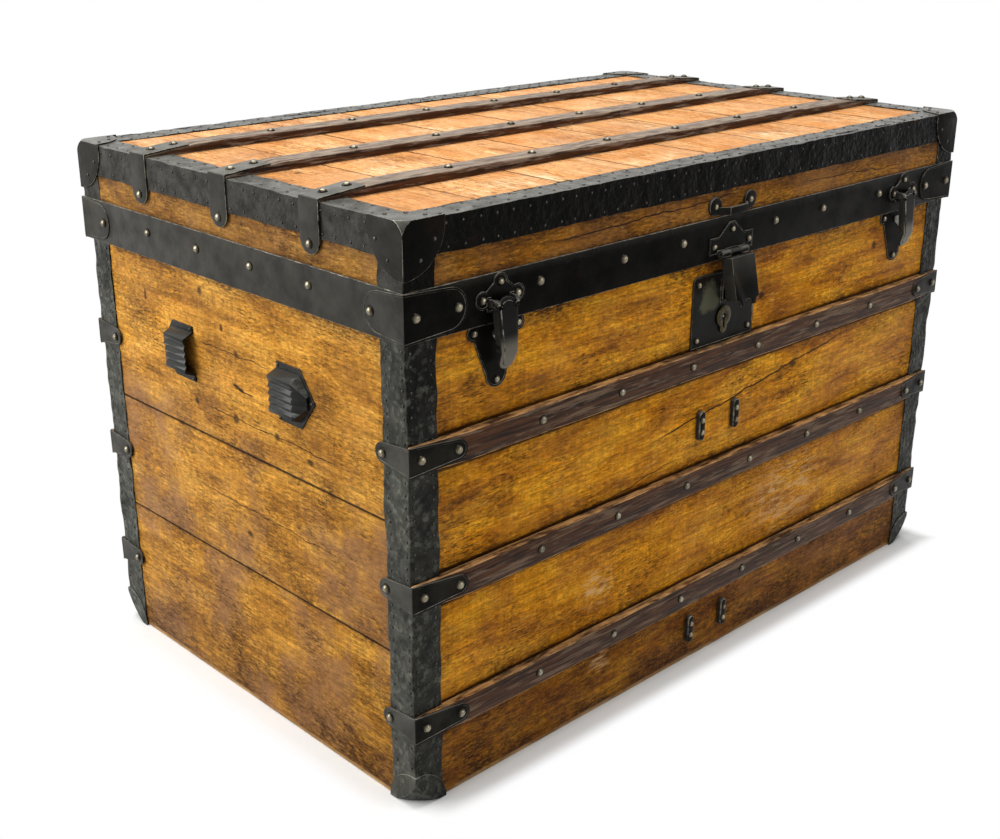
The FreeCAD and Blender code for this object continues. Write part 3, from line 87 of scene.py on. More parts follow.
# A rivet head is bright from this share of its height up, more so towards its crown, partly rubbed by hands
# and partly a painted highlight.
CROWN_FROM = 0.35
CROWN_GAIN = 1.8
# Corners nearer than WELD millimetres are one in a copy, or TOUCH in a made shape. A cut that runs within
# TOUCH or FINE_TOUCH of a corner goes through it. Faces that meet at less than FLAT degrees are one.
WELD = 0.002
TOUCH = 0.001
FINE_TOUCH = 0.0001
FLAT = 0.6
# The noise would start from the clock if it had no seed.
NOISE_SEED = 45
# Foot in metres, direction and scale of a rivet's or tack's head.
HeadPlace = tuple[Vector, Vector, float]


class Axis(Enum):
    """Axis of the trunk's frame."""

    X = 0
    Y = 1
    Z = 2


class Side(Enum):
    """Side of the trunk, with its outward direction."""

    FRONT = (0, -1, 0)
    BACK = (0, 1, 0)
    LEFT = (-1, 0, 0)
    RIGHT = (1, 0, 0)
    TOP = (0, 0, 1)

    @property
    def out(self) -> Vector:
        """Outward direction of the side."""
        return Vector(self.value)


def to_linear(colour: str) -> tuple[float, float, float, float]:
    """Turns an sRGB hex colour into a linear one.

    Args:
        colour: six hex digits, with or without a leading hash.

    Returns:
        Linear red, green, blue and an alpha of 1.
    """
    digits = colour.lstrip("#")
    parts = [int(digits[i:i + 2], 16) / 255 for i in (0, 2, 4)]
    linear = [p / 12.92 if p <= 0.04045 else ((p + 0.055) / 1.055) ** 2.4 for p in parts]
    return (linear[0], linear[1], linear[2], 1.0)


def add(tree: NodeTree, kind: str, inputs: Any = (), **settings: Any) -> Node:
    """Adds a shader node with its settings and links.

    Args:
        tree: node tree that gets the node.
        kind: node type without its ShaderNode prefix.
        inputs: values in socket order, or a dict by socket name. A node or socket is linked, a hex
            colour or number is set, and None leaves the socket as it is.
        **settings: node properties, and stops for a colour ramp as (place, colour or grey) pairs.

    Returns:
        The new node.
    """
    node = tree.nodes.new("ShaderNode" + kind)
    stops = settings.pop("stops", None)
    for name, value in settings.items():
        setattr(node, name, value)
    if stops:
        elements = node.color_ramp.elements
        while len(elements) < len(stops):
            elements.new(1.0)
        for element, (place, colour) in zip(elements, stops):
            element.position = place
            element.color = to_linear(colour) if isinstance(colour, str) else (colour, colour, colour, 1.0)
    pairs = inputs.items() if isinstance(inputs, dict) else enumerate(inputs)
    for key, value in pairs:
        if value is None:
            continue
        socket = node.inputs[key]
        if isinstance(value, bpy.types.Node):
            tree.links.new(value.outputs[0], socket)
        elif isinstance(value, bpy.types.NodeSocket):
            tree.links.new(value, socket)
        elif isinstance(value, str):
            socket.default_value = to_linear(value)
        else:
            socket.default_value = value
    return node


def new_material(name: str) -> tuple[Material, NodeTree]:
    """Starts a material.

    Args:
        name: name of the material.

    Returns:
        The material and its emptied node tree.
    """
    material = bpy.data.materials.new(name)
    material.use_nodes = True
    material.node_tree.nodes.clear()
    return material, material.node_tree


def with_layers(bm: BMesh) -> BMesh:
    """Gives a mesh its wear and tone layers.

    Args:
        bm: mesh that is changed.

    Returns:
        The same mesh.
    """
    for name in ("wear", "tone"):
        bm.faces.layers.float.new(name)
    return bm


def inner_point(face: BMFace) -> Vector:
    """Point in millimetres, half a millimetre inside the solid under a face."""
    return (face.calc_center_median() - face.normal * 0.5 * MM) / MM


def corner_of(point: Vector) -> tuple[bool, bool]:
    """Tells the four corners of the trunk apart."""
    return point.x > 0, point.y > 0


def edge_of(point: Vector) -> tuple[bool, bool]:
    """Tells the four edges of the lid apart."""
    on_end = abs(point.y) < LID_DEPTH
    return on_end, (point.x if on_end else point.y) > 0


def line_inside(bm: BMesh, side: Side) -> BMesh:
    """Gives the faces that look into the trunk the second finish.

    Args:
        bm: mesh that is changed.
        side: side of the trunk that the wood stands on.

    Returns:
        The same mesh.
    """
    for face in bm.faces:
        face.material_index = int(face.normal.dot(side.out) < INWARD)
    return bm


def cad_copy(node: str, keep: Callable[[Vector], bool] | None = None) -> BMesh:
    """Copies a CAD node's mesh and joins its loose triangles into clean faces.

    Args:
        node: name of the CAD node.
        keep: test on a point inside the solid, in millimetres, for the faces to keep.

    Returns:
        The copy, with its own wear and tone layers.
    """
    bm = bmesh.new()
    bm.from_mesh(frame["nodes"][node].data)
    bm.normal_update()
    if keep:
        waste = [f for f in bm.faces if not keep(inner_point(f))]
        bmesh.ops.delete(bm, geom=waste, context="FACES")
    bmesh.ops.remove_doubles(bm, verts=bm.verts[:], dist=WELD * MM)
    bmesh.ops.dissolve_limit(bm, angle_limit=math.radians(FLAT), verts=bm.verts[:], edges=bm.edges[:])
    return with_layers(bm)


def cad_parts(node: str, key: Callable[[Vector], Any]) -> list[BMesh]:
    """Copies a CAD node whose solids touch, as one mesh for each solid.

    Args:
        node: name of the CAD node.
        key: gives the same value for all points inside one solid, in millimetres.

    Returns:
        One copy for each value of the key, in the key's order.
    """
    bm = bmesh.new()
    bm.from_mesh(frame["nodes"][node].data)
    bm.normal_update()
    values = sorted({key(inner_point(f)) for f in bm.faces})
    bm.free()
    return [cad_copy(node, lambda point, value=value: key(point) == value) for value in values]


def join(parts: Iterable[BMesh]) -> BMesh:
    """Puts several meshes into one.

    Args:
        parts: the meshes, which are freed.

    Returns:
        The joined mesh.
    """
    whole = with_layers(bmesh.new())
    for part in parts:
        mesh = bpy.data.meshes.new("part")
        part.to_mesh(mesh)
        part.free()
        whole.from_mesh(mesh)
        bpy.data.meshes.remove(mesh)
    return whole


def soften(bm: BMesh, width: float, segments: int = 2, angle: float = 30.0) -> BMesh:
    """Rounds the sharp outer edges and marks the rounded faces as worn.

    Args:
        bm: mesh that is changed.
        width: width of the rounding in millimetres.
        segments: faces across a rounding.
        angle: edges sharper than this many degrees are rounded.

    Returns:
        The same mesh.
    """
    wear = bm.faces.layers.float["wear"]
    limit = math.radians(angle)
    bm.normal_update()
    sharp = [e for e in bm.edges if len(e.link_faces) == 2 and e.is_convex and e.calc_face_angle(0.0) > limit]
    made = bmesh.ops.bevel(
        bm, geom=sharp, offset=width * MM, offset_type="OFFSET", segments=segments, profile=0.5,
        affect="EDGES", clamp_overlap=True, material=-1,
    )
    for face in made["faces"]:
        face[wear] = 1.0
    return bm


def emboss(bm: BMesh, outer: Callable[[BMFace], bool], rim: float, depth: float, shine: float = 0.8) -> BMesh:
    """Sinks the outer face of a plate inside a narrow rim, as a stamped line leaves it.

    Args:
        bm: mesh that is changed.
        outer: tells the faces of the plate's outer side.
        rim: width of the rim in millimetres.
        depth: depth of the sunk part in millimetres, below zero to raise it.
        shine: wear of the step between rim and sunk part.

    Returns:
        The same mesh.
    """
    wear = bm.faces.layers.float["wear"]
    bm.normal_update()
    region = [f for f in bm.faces if f[wear] == 0 and outer(f)]
    bmesh.ops.inset_region(bm, faces=region, thickness=rim * MM, depth=0, use_boundary=True)
    step = bmesh.ops.inset_region(
        bm, faces=region, thickness=abs(depth) * MM, depth=-depth * MM, use_boundary=True
    )
    for face in step["faces"]:
        face[wear] = shine
    return bm


def slice_up(bm: BMesh, axis: Axis, pitch: float) -> None:
    """Cuts a mesh across an axis at an even pitch, so that it can bend.

    Args:
        bm: mesh that is changed.
        axis: axis that the cuts stand across.
        pitch: distance between cuts in millimetres.
    """
    places = [v.co[axis.value] for v in bm.verts]
    low, high = min(places), max(places)
    count = max(1, round((high - low) / (pitch * MM)))
    normal = Vector((0, 0, 0))
    normal[axis.value] = 1.0
    for i in range(1, count):
        point = normal * (low + (high - low) * i / count)
        everything = bm.verts[:] + bm.edges[:] + bm.faces[:]
        bmesh.ops.bisect_plane(bm, geom=everything, dist=FINE_TOUCH * MM, plane_co=point, plane_no=normal)


def waver(bm: BMesh, size: float, amount: float, seed: float, sink: float = 1.0) -> BMesh:
    """Moves a mesh by smooth noise, as hand-beaten sheet or worn wood stands.

    Args:
        bm: mesh that is changed.
        size: length of a wave in millimetres.
        amount: how far points move at most, in millimetres.
        seed: place in the noise.
        sink: share of that amount that points may move down or towards the trunk's middle.

    Returns:
        The same mesh.
    """
    away = Vector((seed, 2 * seed, 3 * seed))
    low_z = min(v.co.z for v in bm.verts)
    high_z = max(v.co.z for v in bm.verts)
    for vert in bm.verts:
        push = noise.noise_vector(vert.co / (size * MM) + away) * amount * MM
        for i, place in enumerate(vert.co):
            outward = -1.0 if place < 0 else 1.0
            push[i] = outward * max(outward * push[i], -sink * amount * MM)
        moved = vert.co + push
        moved.z = min(max(moved.z, low_z), high_z)
        vert.co = moved
    return bm


def set_tone(bm: BMesh, value: float) -> BMesh:
    """Gives every face of a mesh one tone.

    Args:
        bm: mesh that is changed.
        value: the tone, from 0 to 1.

    Returns:
        The same mesh.
    """
    tone = bm.faces.layers.float["tone"]
    for face in bm.faces:
        face[tone] = value
    return bm


def dome(radius: float, height: float, segments: int, rings: int) -> BMesh:
    """Round rivet head, open underneath, standing on the origin along +Z.

    Args:
        radius: radius of the foot in millimetres.
        height: height in millimetres.
        segments: faces round the head.
        rings: faces from foot to crown.

    Returns:
        The mesh of the head.
    """
    bm = bmesh.new()
    ball = (radius * radius + height * height) / (2 * height)
    lean = math.asin(min(1.0, radius / ball)) if height <= radius else math.pi / 2
    line = []
    for i in range(rings + 1):
        angle = lean * (1 - i / rings)
        place = (ball * math.sin(angle) * MM, 0, (height - ball + ball * math.cos(angle)) * MM)
        line.append(bm.verts.new(place))
    edges = [bm.edges.new(pair) for pair in zip(line, line[1:])]
    bmesh.ops.spin(
        bm, geom=line + edges, cent=(0, 0, 0), axis=UP, angle=2 * math.pi, steps=segments, use_merge=True
    )
    bmesh.ops.remove_doubles(bm, verts=bm.verts[:], dist=TOUCH * MM)
    bmesh.ops.recalc_face_normals(bm, faces=bm.faces[:])
    if sum(f.normal.z for f in bm.faces) < 0:
        bmesh.ops.reverse_faces(bm, faces=bm.faces[:])
    wear = bm.faces.layers.float.new("wear")
    for face in bm.faces:
        rise = face.calc_center_median().z / (height * MM)
        face[wear] = min(1.0, max(0.0, CROWN_GAIN * (rise - CROWN_FROM)))
    return bm


def scatter(template: BMesh, places: Sequence[HeadPlace]) -> BMesh:
    """Sets copies of a small shape at places.

    Args:
        template: shape standing on the origin along +Z, which is freed.
        places: foot in metres, direction and scale of each copy.

    Returns:
        One mesh of all copies.
    """
    mesh = bpy.data.meshes.new("template")
    template.to_mesh(mesh)
    template.free()
    whole = with_layers(bmesh.new())
    tone = whole.faces.layers.float["tone"]
    dice = random.Random(len(places))
    for foot, out, scale in places:
        before = len(whole.verts)
        faces_before = len(whole.faces)
        whole.from_mesh(mesh)
        whole.verts.ensure_lookup_table()
        whole.faces.ensure_lookup_table()
        turn = out.to_track_quat("Z", "Y").to_matrix().to_4x4()
        spun = Matrix.Rotation(dice.uniform(0, 2 * math.pi), 4, "Z")
        matrix = Matrix.Translation(foot) @ turn @ spun @ Matrix.Scale(scale, 4)
        bmesh.ops.transform(whole, matrix=matrix, verts=whole.verts[before:])
        shade = dice.random()
        for face in whole.faces[faces_before:]:
            face[tone] = shade
    bpy.data.meshes.remove(mesh)
    return whole


def islands(bm: BMesh) -> list[list[BMFace]]:
    """Finds the groups of faces that hang together.

    Args:
        bm: mesh that is read.

    Returns:
        The faces of each group.
    """
    found: list[list[BMFace]] = []
    seen: set[BMFace] = set()
    for start in bm.faces:
        if start in seen:
            continue
        seen.add(start)
        group = [start]
        for face in group:
            for near in (f for e in face.edges for f in e.link_faces if f not in seen):
                seen.add(near)
                group.append(near)
        found.append(group)
    return found


def place_piece(
    name: str, bm: BMesh, finishes: Sequence["Finish"], body: str, crisp: float = CRISP
) -> Object:
    """Makes an object of a mesh and hangs it on its body.

    Args:
        name: name of the piece.
        bm: mesh of the piece, which is freed.
        finishes: finishes in the order of the mesh's material numbers.
        body: body that it rides on.
        crisp: edges sharper than this many degrees stay crisp.

    Returns:
        The piece.
    """
    limit = math.radians(crisp)
    for face in bm.faces:
        face.smooth = True
    for edge in bm.edges:
        edge.smooth = not (len(edge.link_faces) == 2 and edge.calc_face_angle(0.0) > limit)
    mesh = bpy.data.meshes.new(name)
    bm.to_mesh(mesh)
    bm.free()
    piece = bpy.data.objects.new(name, mesh)
    bpy.context.scene.collection.objects.link(piece)
    for finish in finishes:
        mesh.materials.append(finish.material())
    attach(piece, body)
    LOG.info("%s: %d faces on %s", name, len(mesh.polygons), body)
    return piece


def dress(node: str, bm: BMesh, *finishes: "Finish", crisp: float = CRISP) -> None:
    """Puts a finer mesh in the place of a CAD node.

    Args:
        node: CAD node that the piece stands for.
        bm: mesh of the piece, which is freed.
        *finishes: finishes in the order of the mesh's material numbers.
        crisp: edges sharper than this many degrees stay crisp.
    """
    piece = place_piece(node + "_dressed", bm, finishes, BODY_OF[node], crisp)
    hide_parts(node)


def dress_node(node: str, finish: "Finish") -> None:
    """Gives a CAD node that stays its finish.

    Args:
        node: CAD node.
        finish: finish of all its faces.
    """
    mesh = frame["nodes"][node].data
    mesh.materials.clear()
    mesh.materials.append(finish.material())
    LOG.info("%s: CAD node kept, finished in %s", node, finish.name)


@dataclass(frozen=True)
class Finish:
    """Common part of every finish: the material's name and the record's slot."""

    name: str
    slot: str

    def material(self) -> Material:
        """The finish's material, made once."""
        found = bpy.data.materials.get(self.name)
        return found or self.make()

    def make(self) -> Material:
        """Builds the material."""
        raise NotImplementedError


@dataclass(frozen=True)
class Crack:
    """Split in a board, from one point of the wall to another, in millimetres along it and up."""

    start: tuple[float, float]
    end: tuple[float, float]
    width: float = 0.9


@dataclass(frozen=True)
class Spot:
    """Round mark on a board, such as a knot or a rubbed place, in millimetres along it and up."""

    place: tuple[float, float]
    radius: float
    stretch: float = 1.0


@dataclass(frozen=True)
class Strokes:
    """Noise drawn out along fibres: width and length in millimetres, octaves, roughness and bend."""

    width: float
    length: float
    detail: float
    rough: float
    bend: float = 0.0

    def draw(self, tree: NodeTree, vector: Any, grain: Axis = Axis.X) -> Node:
        """Adds the noise.

        Args:
            tree: node tree.
            vector: coordinates in metres.
            grain: axis of the fibres.

        Returns:
            The noise node.
        """
        scale = [1 / (self.width * MM)] * 3
        scale[grain.value] = 1 / (self.length * MM)
        drawn = add(tree, "Mapping", {"Vector": vector, "Scale": scale})
        return add(tree, "TexNoise", {
            "Vector": drawn, "Scale": 1.0, "Detail": self.detail, "Roughness": self.rough,
            "Distortion": self.bend,
        })


@dataclass(frozen=True)
class Wall:
    """Coordinates on a wall of boards in metres: the point, its place along the wall and its height."""

    tree: NodeTree
    here: Any
    along: Any
    up: Any

    def distance(self, spot: Spot) -> Node:
        """Measures the distance from a spot, shortened along its stretch.

        Args:
            spot: the mark.

        Returns:
            Node with the distance in metres.
        """
        away = add(self.tree, "Math", (self.along, spot.place[0] * MM), operation="SUBTRACT")
        away = add(self.tree, "Math", (away, spot.stretch), operation="DIVIDE")
        rise = add(self.tree, "Math", (self.up, spot.place[1] * MM), operation="SUBTRACT")
        square = add(self.tree, "Math", (away, away), operation="MULTIPLY")
        total = add(self.tree, "Math", (rise, rise, square), operation="MULTIPLY_ADD")
        return add(self.tree, "Math", (total, 0.5), operation="POWER")


@dataclass(frozen=True)
class OldPine(Finish):
    """Pine boards, sawn, planed and varnished by hand, gone amber and grimy with age.

    The eye sees a warm figure along the fibres, short dark flecks in the pores, brown dirt and painted shade
    where the iron and slats hold it, painted shadow lines along the slats, and a dull satin gloss.
    """

    grain: Axis = Axis.X
    along: Axis = Axis.X
    up: Axis = Axis.Z
    deep: str = "#54300C"
    dark: str = "#965C0E"
    middle: str = "#BC7C16"
    light: str = "#D29626"
    stain: str = "#452A12"
    speck: str = "#1E1208"
    blush: str = "#8A6446"
    pale: str = "#CDA570"
    scuff: str = "#E2B050"
    low_tint: str = "#CEC8E6"
    crack_and_shadow_dark: str = "#1C1008"
    stain_share: float = 0.7
    speck_share: float = 0.8
    blush_share: float = 0.3
    scuff_share: float = 0.5
    blush_top: float = 0.0
    blush_over: float = 25.0
    blush_under: float = 15.0
    low_board: float = 0.0
    foot: float = 0.0
    blur: float = 2.0
    top_level: float = 580.0
    grime_and_shade_levels: tuple[tuple[float, float], ...] = ()
    grime_ends: tuple[float, float] = (375.0, 432.0)
    seam_pitch: float = 0.0
    seam_start: float = 0.0
    seam_reach: float = 7.0
    shadow_lines: tuple[float, ...] = ()
    shadow_line_width: float = 2.6
    cracks: tuple[Crack, ...] = ()
    knots: tuple[Spot, ...] = ()
    rubs: tuple[Spot, ...] = ()
    smudges_and_shadows: tuple[Spot, ...] = ()
    blush_size: float = 108.0
    stain_size: float = 120.0
    wander_size: float = 25.0
    wander_reach: float = 5.0
    blotch: Strokes = Strokes(26.0, 85.0, 9.0, 0.68, 0.4)
    figure: Strokes = Strokes(3.4, 120.0, 4.0, 0.6, 0.5)
    mottle: Strokes = Strokes(2.3, 8.0, 3.0, 0.8)
    patch: Strokes = Strokes(55.0, 88.0, 7.0, 0.7)
    scuffs: Strokes = Strokes(2.0, 15.0, 3.0, 0.6, 1.5)
    saw: Strokes = Strokes(38.0, 3.2, 2.0, 0.6)
    fleck: Strokes = Strokes(1.5, 11.0, 3.0, 0.7)
    scratch: Strokes = Strokes(5.0, 26.0, 4.0, 0.5, 1.2)

    def make(self) -> Material:
        """Builds the material.

        Returns:
            The material.
        """
        material, tree = new_material(self.name)
        here = add(tree, "TexCoord").outputs["Object"]
        tone = add(tree, "Attribute", attribute_name="tone").outputs["Fac"]
        wear = add(tree, "Attribute", attribute_name="wear").outputs["Fac"]
        place = add(tree, "SeparateXYZ", (here,))
        wall = Wall(tree, here, place.outputs[self.along.value], place.outputs[self.up.value])
        # Each board is cut from another log, so its figure starts at another place.
        log = add(tree, "VectorMath", (here, add(tree, "CombineXYZ", (tone, tone, tone))), operation="ADD")
        mottle = self.mottle.draw(tree, log, self.grain)
        patch = self.patch.draw(tree, here, self.grain)
        colour = self.bare_wood(wall, log, tone, mottle, patch)
        # Dirt gathers in patches, thicker where flecks of the pores are open.
        fleck = self.fleck.draw(tree, log, self.grain)
        threshold = add(tree, "MapRange", (patch, 0.38, 0.64, 0.71, 0.51))
        fleck = add(tree, "Math", (fleck, threshold), operation="SUBTRACT")
        fleck = add(
            tree, "MapRange", (fleck, 0.0, 0.1, 0.0, self.speck_share), interpolation_type="SMOOTHSTEP",
        )
        # Stains, dirt and painted shade beside the iron and slats darken the wood.
        colour = add(tree, "MixRGB", (self.dirt_and_shade(wall, mottle, patch), colour, self.stain))
        if self.low_board:
            fade, full = (self.low_board + self.blur) * MM, (self.low_board - self.blur) * MM
            low = add(tree, "MapRange", (wall.up, fade, full, 0.0, 1.0))
            colour = add(tree, "MixRGB", (low, colour, self.low_tint), blend_type="MULTIPLY")
        colour = add(tree, "MixRGB", (fleck, colour, self.speck))
        edge = add(tree, "Math", (wear, 0.8), operation="MULTIPLY")
        split_and_shadow = add(tree, "Math", (self.splits_and_shadow_lines(wall), edge), operation="MAXIMUM")
        if self.rubs:
            colour = add(tree, "MixRGB", (self.rubbed(wall), colour, self.pale))
        colour = add(tree, "MixRGB", (split_and_shadow, colour, self.crack_and_shadow_dark))
        if self.foot:
            fade, full = (self.foot + self.blur) * MM, (self.foot - self.blur) * MM
            foot = add(tree, "MapRange", (wall.up, fade, full, 0.0, 0.75))
            broken = add(tree, "MapRange", (patch, 0.4, 0.58, 0.2, 1.0))
            foot = add(tree, "Math", (foot, broken), operation="MULTIPLY")
            colour = add(tree, "MixRGB", (foot, colour, self.pale))
        rough = add(tree, "MapRange", (patch, 0.3, 0.7, 0.36, 0.62))
        height = add(tree, "Math", (mottle, fleck), operation="SUBTRACT")
        height = add(tree, "Math", (split_and_shadow, -3.0, height), operation="MULTIPLY_ADD")
        bump = add(tree, "Bump", {"Strength": 0.35, "Distance": 0.6 * MM, "Height": height})
        shader = add(tree, "BsdfPrincipled", {
            "Base Color": colour, "Roughness": rough, "IOR": 1.5, "Normal": bump, "Specular IOR Level": 0.05,
        })
        add(tree, "OutputMaterial", (shader,))
        return material

    def bare_wood(self, wall: Wall, log: Node, tone: Any, mottle: Node, patch: Node) -> Node:
        """Colour of the wood and its varnish before any dirt.

        Args:
            wall: coordinates on the wall.
            log: coordinates in the log that a board was cut from.
            tone: tone of the board.
            mottle: noise of the cracked varnish.
            patch: noise of large patches.

        Returns:
            Node with the colour.
        """
        tree = wall.tree
        shades = ((0.2, self.deep), (0.36, self.dark), (0.5, self.middle), (0.7, self.light))
        colour = add(tree, "ValToRGB", (self.blotch.draw(tree, log, self.grain),), stops=shades)
        figure = add(tree, "MapRange", (self.figure.draw(tree, log, self.grain), 0.32, 0.68, 0.64, 1.3))
        colour = add(tree, "MixRGB", (1.0, colour, figure), blend_type="MULTIPLY")
        # Cracked varnish mottles the wood. The real marks are finer, and are drawn coarser to show.
        dabbed = add(tree, "MapRange", (mottle, 0.33, 0.67, 0.34, 1.6))
        rubbed_in = add(tree, "MapRange", (patch, 0.36, 0.62, 0.5, 1.0))
        colour = add(tree, "MixRGB", (rubbed_in, colour, dabbed), blend_type="MULTIPLY")
        scuffed = self.scuffs.draw(tree, log, self.grain)
        scuffed = add(tree, "MapRange", (scuffed, 0.58, 0.68, 0.0, self.scuff_share))
        colour = add(tree, "MixRGB", (scuffed, colour, self.scuff))
        # The saw left faint marks across the fibres.
        sawn = add(tree, "MapRange", (self.saw.draw(tree, log, self.grain), 0.34, 0.66, 0.88, 1.1))
        shade = add(tree, "MapRange", (tone, 0.0, 1.0, 0.92, 1.08))
        for layer in (sawn, shade):
            colour = add(tree, "MixRGB", (1.0, colour, layer), blend_type="MULTIPLY")
        blush = add(tree, "TexNoise", {
            "Vector": log, "Scale": 1 / (self.blush_size * MM), "Detail": 6.0, "Roughness": 0.65,
        })
        blush = add(
            tree, "MapRange", (blush, 0.42, 0.6, 0.0, self.blush_share), interpolation_type="SMOOTHSTEP",
        )
        if self.blush_top:
            fade, full = (self.blush_top + self.blush_over) * MM, (self.blush_top - self.blush_under) * MM
            low = add(tree, "MapRange", (wall.up, fade, full, 0.2, 1.0))
            blush = add(tree, "Math", (blush, low), operation="MULTIPLY")
        return add(tree, "MixRGB", (blush, colour, self.blush))

    def dirt_and_shade(self, wall: Wall, mottle: Node, patch: Node) -> Node:
        """Mask of the stains, and of the dirt and painted shade beside iron and slats.

        Args:
            wall: coordinates on the wall.
            mottle: noise of the cracked varnish, which catches dirt.
            patch: noise that breaks the dirt and painted shade up.

        Returns:
            Node with the mask.
        """
        tree = wall.tree
        stain = add(tree, "TexNoise", {
            "Vector": wall.here, "Scale": 1 / (self.stain_size * MM), "Detail": 8.0, "Roughness": 0.7,
            "Distortion": 0.3,
        })
        stain = add(
            tree, "MapRange", (stain, 0.5, 0.72, 0.0, self.stain_share), interpolation_type="SMOOTHSTEP",
        )
        ends = add(tree, "Math", (wall.along,), operation="ABSOLUTE")
        masks = [add(tree, "MapRange", (ends, self.grime_ends[0] * MM, self.grime_ends[1] * MM, 0.0, 0.75))]
        # Dirt, dark joints and painted shade by height: under the band and the lid's trims, and beside the
        # slats.
        if self.grime_and_shade_levels:
            stops = tuple((level / self.top_level, grey) for level, grey in self.grime_and_shade_levels)
            share = add(tree, "Math", (wall.up, self.top_level * MM), operation="DIVIDE")
            masks.append(add(tree, "ValToRGB", (share,), stops=stops))
        if self.seam_pitch:
            off = add(tree, "Math", (wall.along, self.seam_start * MM), operation="SUBTRACT")
            off = add(tree, "Math", (off, self.seam_pitch * MM), operation="PINGPONG")
            off = add(tree, "Math", (off, 2.0), operation="MULTIPLY")
            off = add(tree, "Math", (off, self.seam_pitch * MM), operation="PINGPONG")
            masks.append(add(tree, "MapRange", (off, 0.0, self.seam_reach * MM, 0.7, 0.0)))
        # Dark spots: dirt round the fittings, and painted shade under the cleats and the handle caps.
        for dark_spot in self.smudges_and_shadows:
            masks.append(add(tree, "MapRange", (wall.distance(dark_spot), dark_spot.radius * MM, 0.0, 0.0, 0.75)))
        grime_and_shade = masks[0]
        for mask in masks[1:]:
            grime_and_shade = add(tree, "Math", (grime_and_shade, mask), operation="MAXIMUM")
        broken = add(tree, "MapRange", (patch, 0.36, 0.6, 0.3, 1.2))
        grime_and_shade = add(tree, "Math", (grime_and_shade, broken), operation="MULTIPLY", use_clamp=True)
        dirt_and_shade = add(tree, "Math", (stain, grime_and_shade), operation="MAXIMUM")
        caught = add(tree, "MapRange", (mottle, 0.66, 0.36, 0.5, 1.3))
        return add(tree, "Math", (dirt_and_shade, caught), operation="MULTIPLY", use_clamp=True)

    def splits_and_shadow_lines(self, wall: Wall) -> Node:
        """Mask of the cracks, the knots and the painted shadow lines along the slats.

        Args:
            wall: coordinates on the wall.

        Returns:
            Node with the mask.
        """
        tree = wall.tree
        wander = add(tree, "TexNoise", {
            "Vector": wall.here, "Scale": 1 / (self.wander_size * MM), "Detail": 4.0,
        })
        wander = add(tree, "MapRange", (wander, 0.0, 1.0, -self.wander_reach * MM, self.wander_reach * MM))
        mask = add(tree, "Math", (0.0, 0.0), operation="ADD")
        for crack in self.cracks:
            (u0, v0), (u1, v1) = crack.start, crack.end
            slope = (v1 - v0) / (u1 - u0)
            line = add(tree, "Math", (wall.along, -slope, wall.up), operation="MULTIPLY_ADD")
            line = add(tree, "Math", (line, wander), operation="ADD")
            line = add(tree, "Math", (line, (v0 - slope * u0) * MM), operation="SUBTRACT")
            line = add(tree, "Math", (line,), operation="ABSOLUTE")
            near = add(tree, "MapRange", (line, crack.width * MM, 0.3 * crack.width * MM, 0.0, 0.95))
            middle, half = (u0 + u1) / 2 * MM, abs(u1 - u0) / 2 * MM
            off = add(tree, "Math", (wall.along, middle), operation="SUBTRACT")
            off = add(tree, "Math", (off,), operation="ABSOLUTE")
            inside = add(tree, "MapRange", (off, half, 0.7 * half, 0.0, 1.0))
            mask = add(tree, "Math", (near, inside, mask), operation="MULTIPLY_ADD", use_clamp=True)
        marks = []
        for knot in self.knots:
            spread = add(tree, "Math", (wall.distance(knot), wander), operation="ADD")
            marks.append((spread, knot.radius * MM, 0.4 * knot.radius * MM, 0.0, 0.8))
        # Painted shadow lines along the edges of the slats.
        for level in self.shadow_lines:
            off = add(tree, "Math", (wall.up, level * MM), operation="SUBTRACT")
            off = add(tree, "Math", (off,), operation="ABSOLUTE")
            marks.append((off, self.shadow_line_width * MM, 0.4 * self.shadow_line_width * MM, 0.0, 0.85))
        for mark in marks:
            mask = add(tree, "Math", (mask, add(tree, "MapRange", mark)), operation="MAXIMUM")
        return mask

    def rubbed(self, wall: Wall) -> Node:
        """Mask of pale scratches where the varnish is rubbed off.

        Args:
            wall: coordinates on the wall.

        Returns:
            Node with the mask.
        """
        tree = wall.tree
        scratch = self.scratch.draw(tree, wall.here, self.grain)
        scratch = add(tree, "MapRange", (scratch, 0.48, 0.62, 0.0, 0.75))
        mask = add(tree, "Math", (0.0, 0.0), operation="ADD")
        for rub in self.rubs:
            reach = wall.distance(rub), rub.radius * MM, 0.3 * rub.radius * MM, 0.0, 1.0
            mask = add(tree, "Math", (mask, add(tree, "MapRange", reach)), operation="MAXIMUM")
        return add(tree, "Math", (mask, scratch), operation="MULTIPLY")


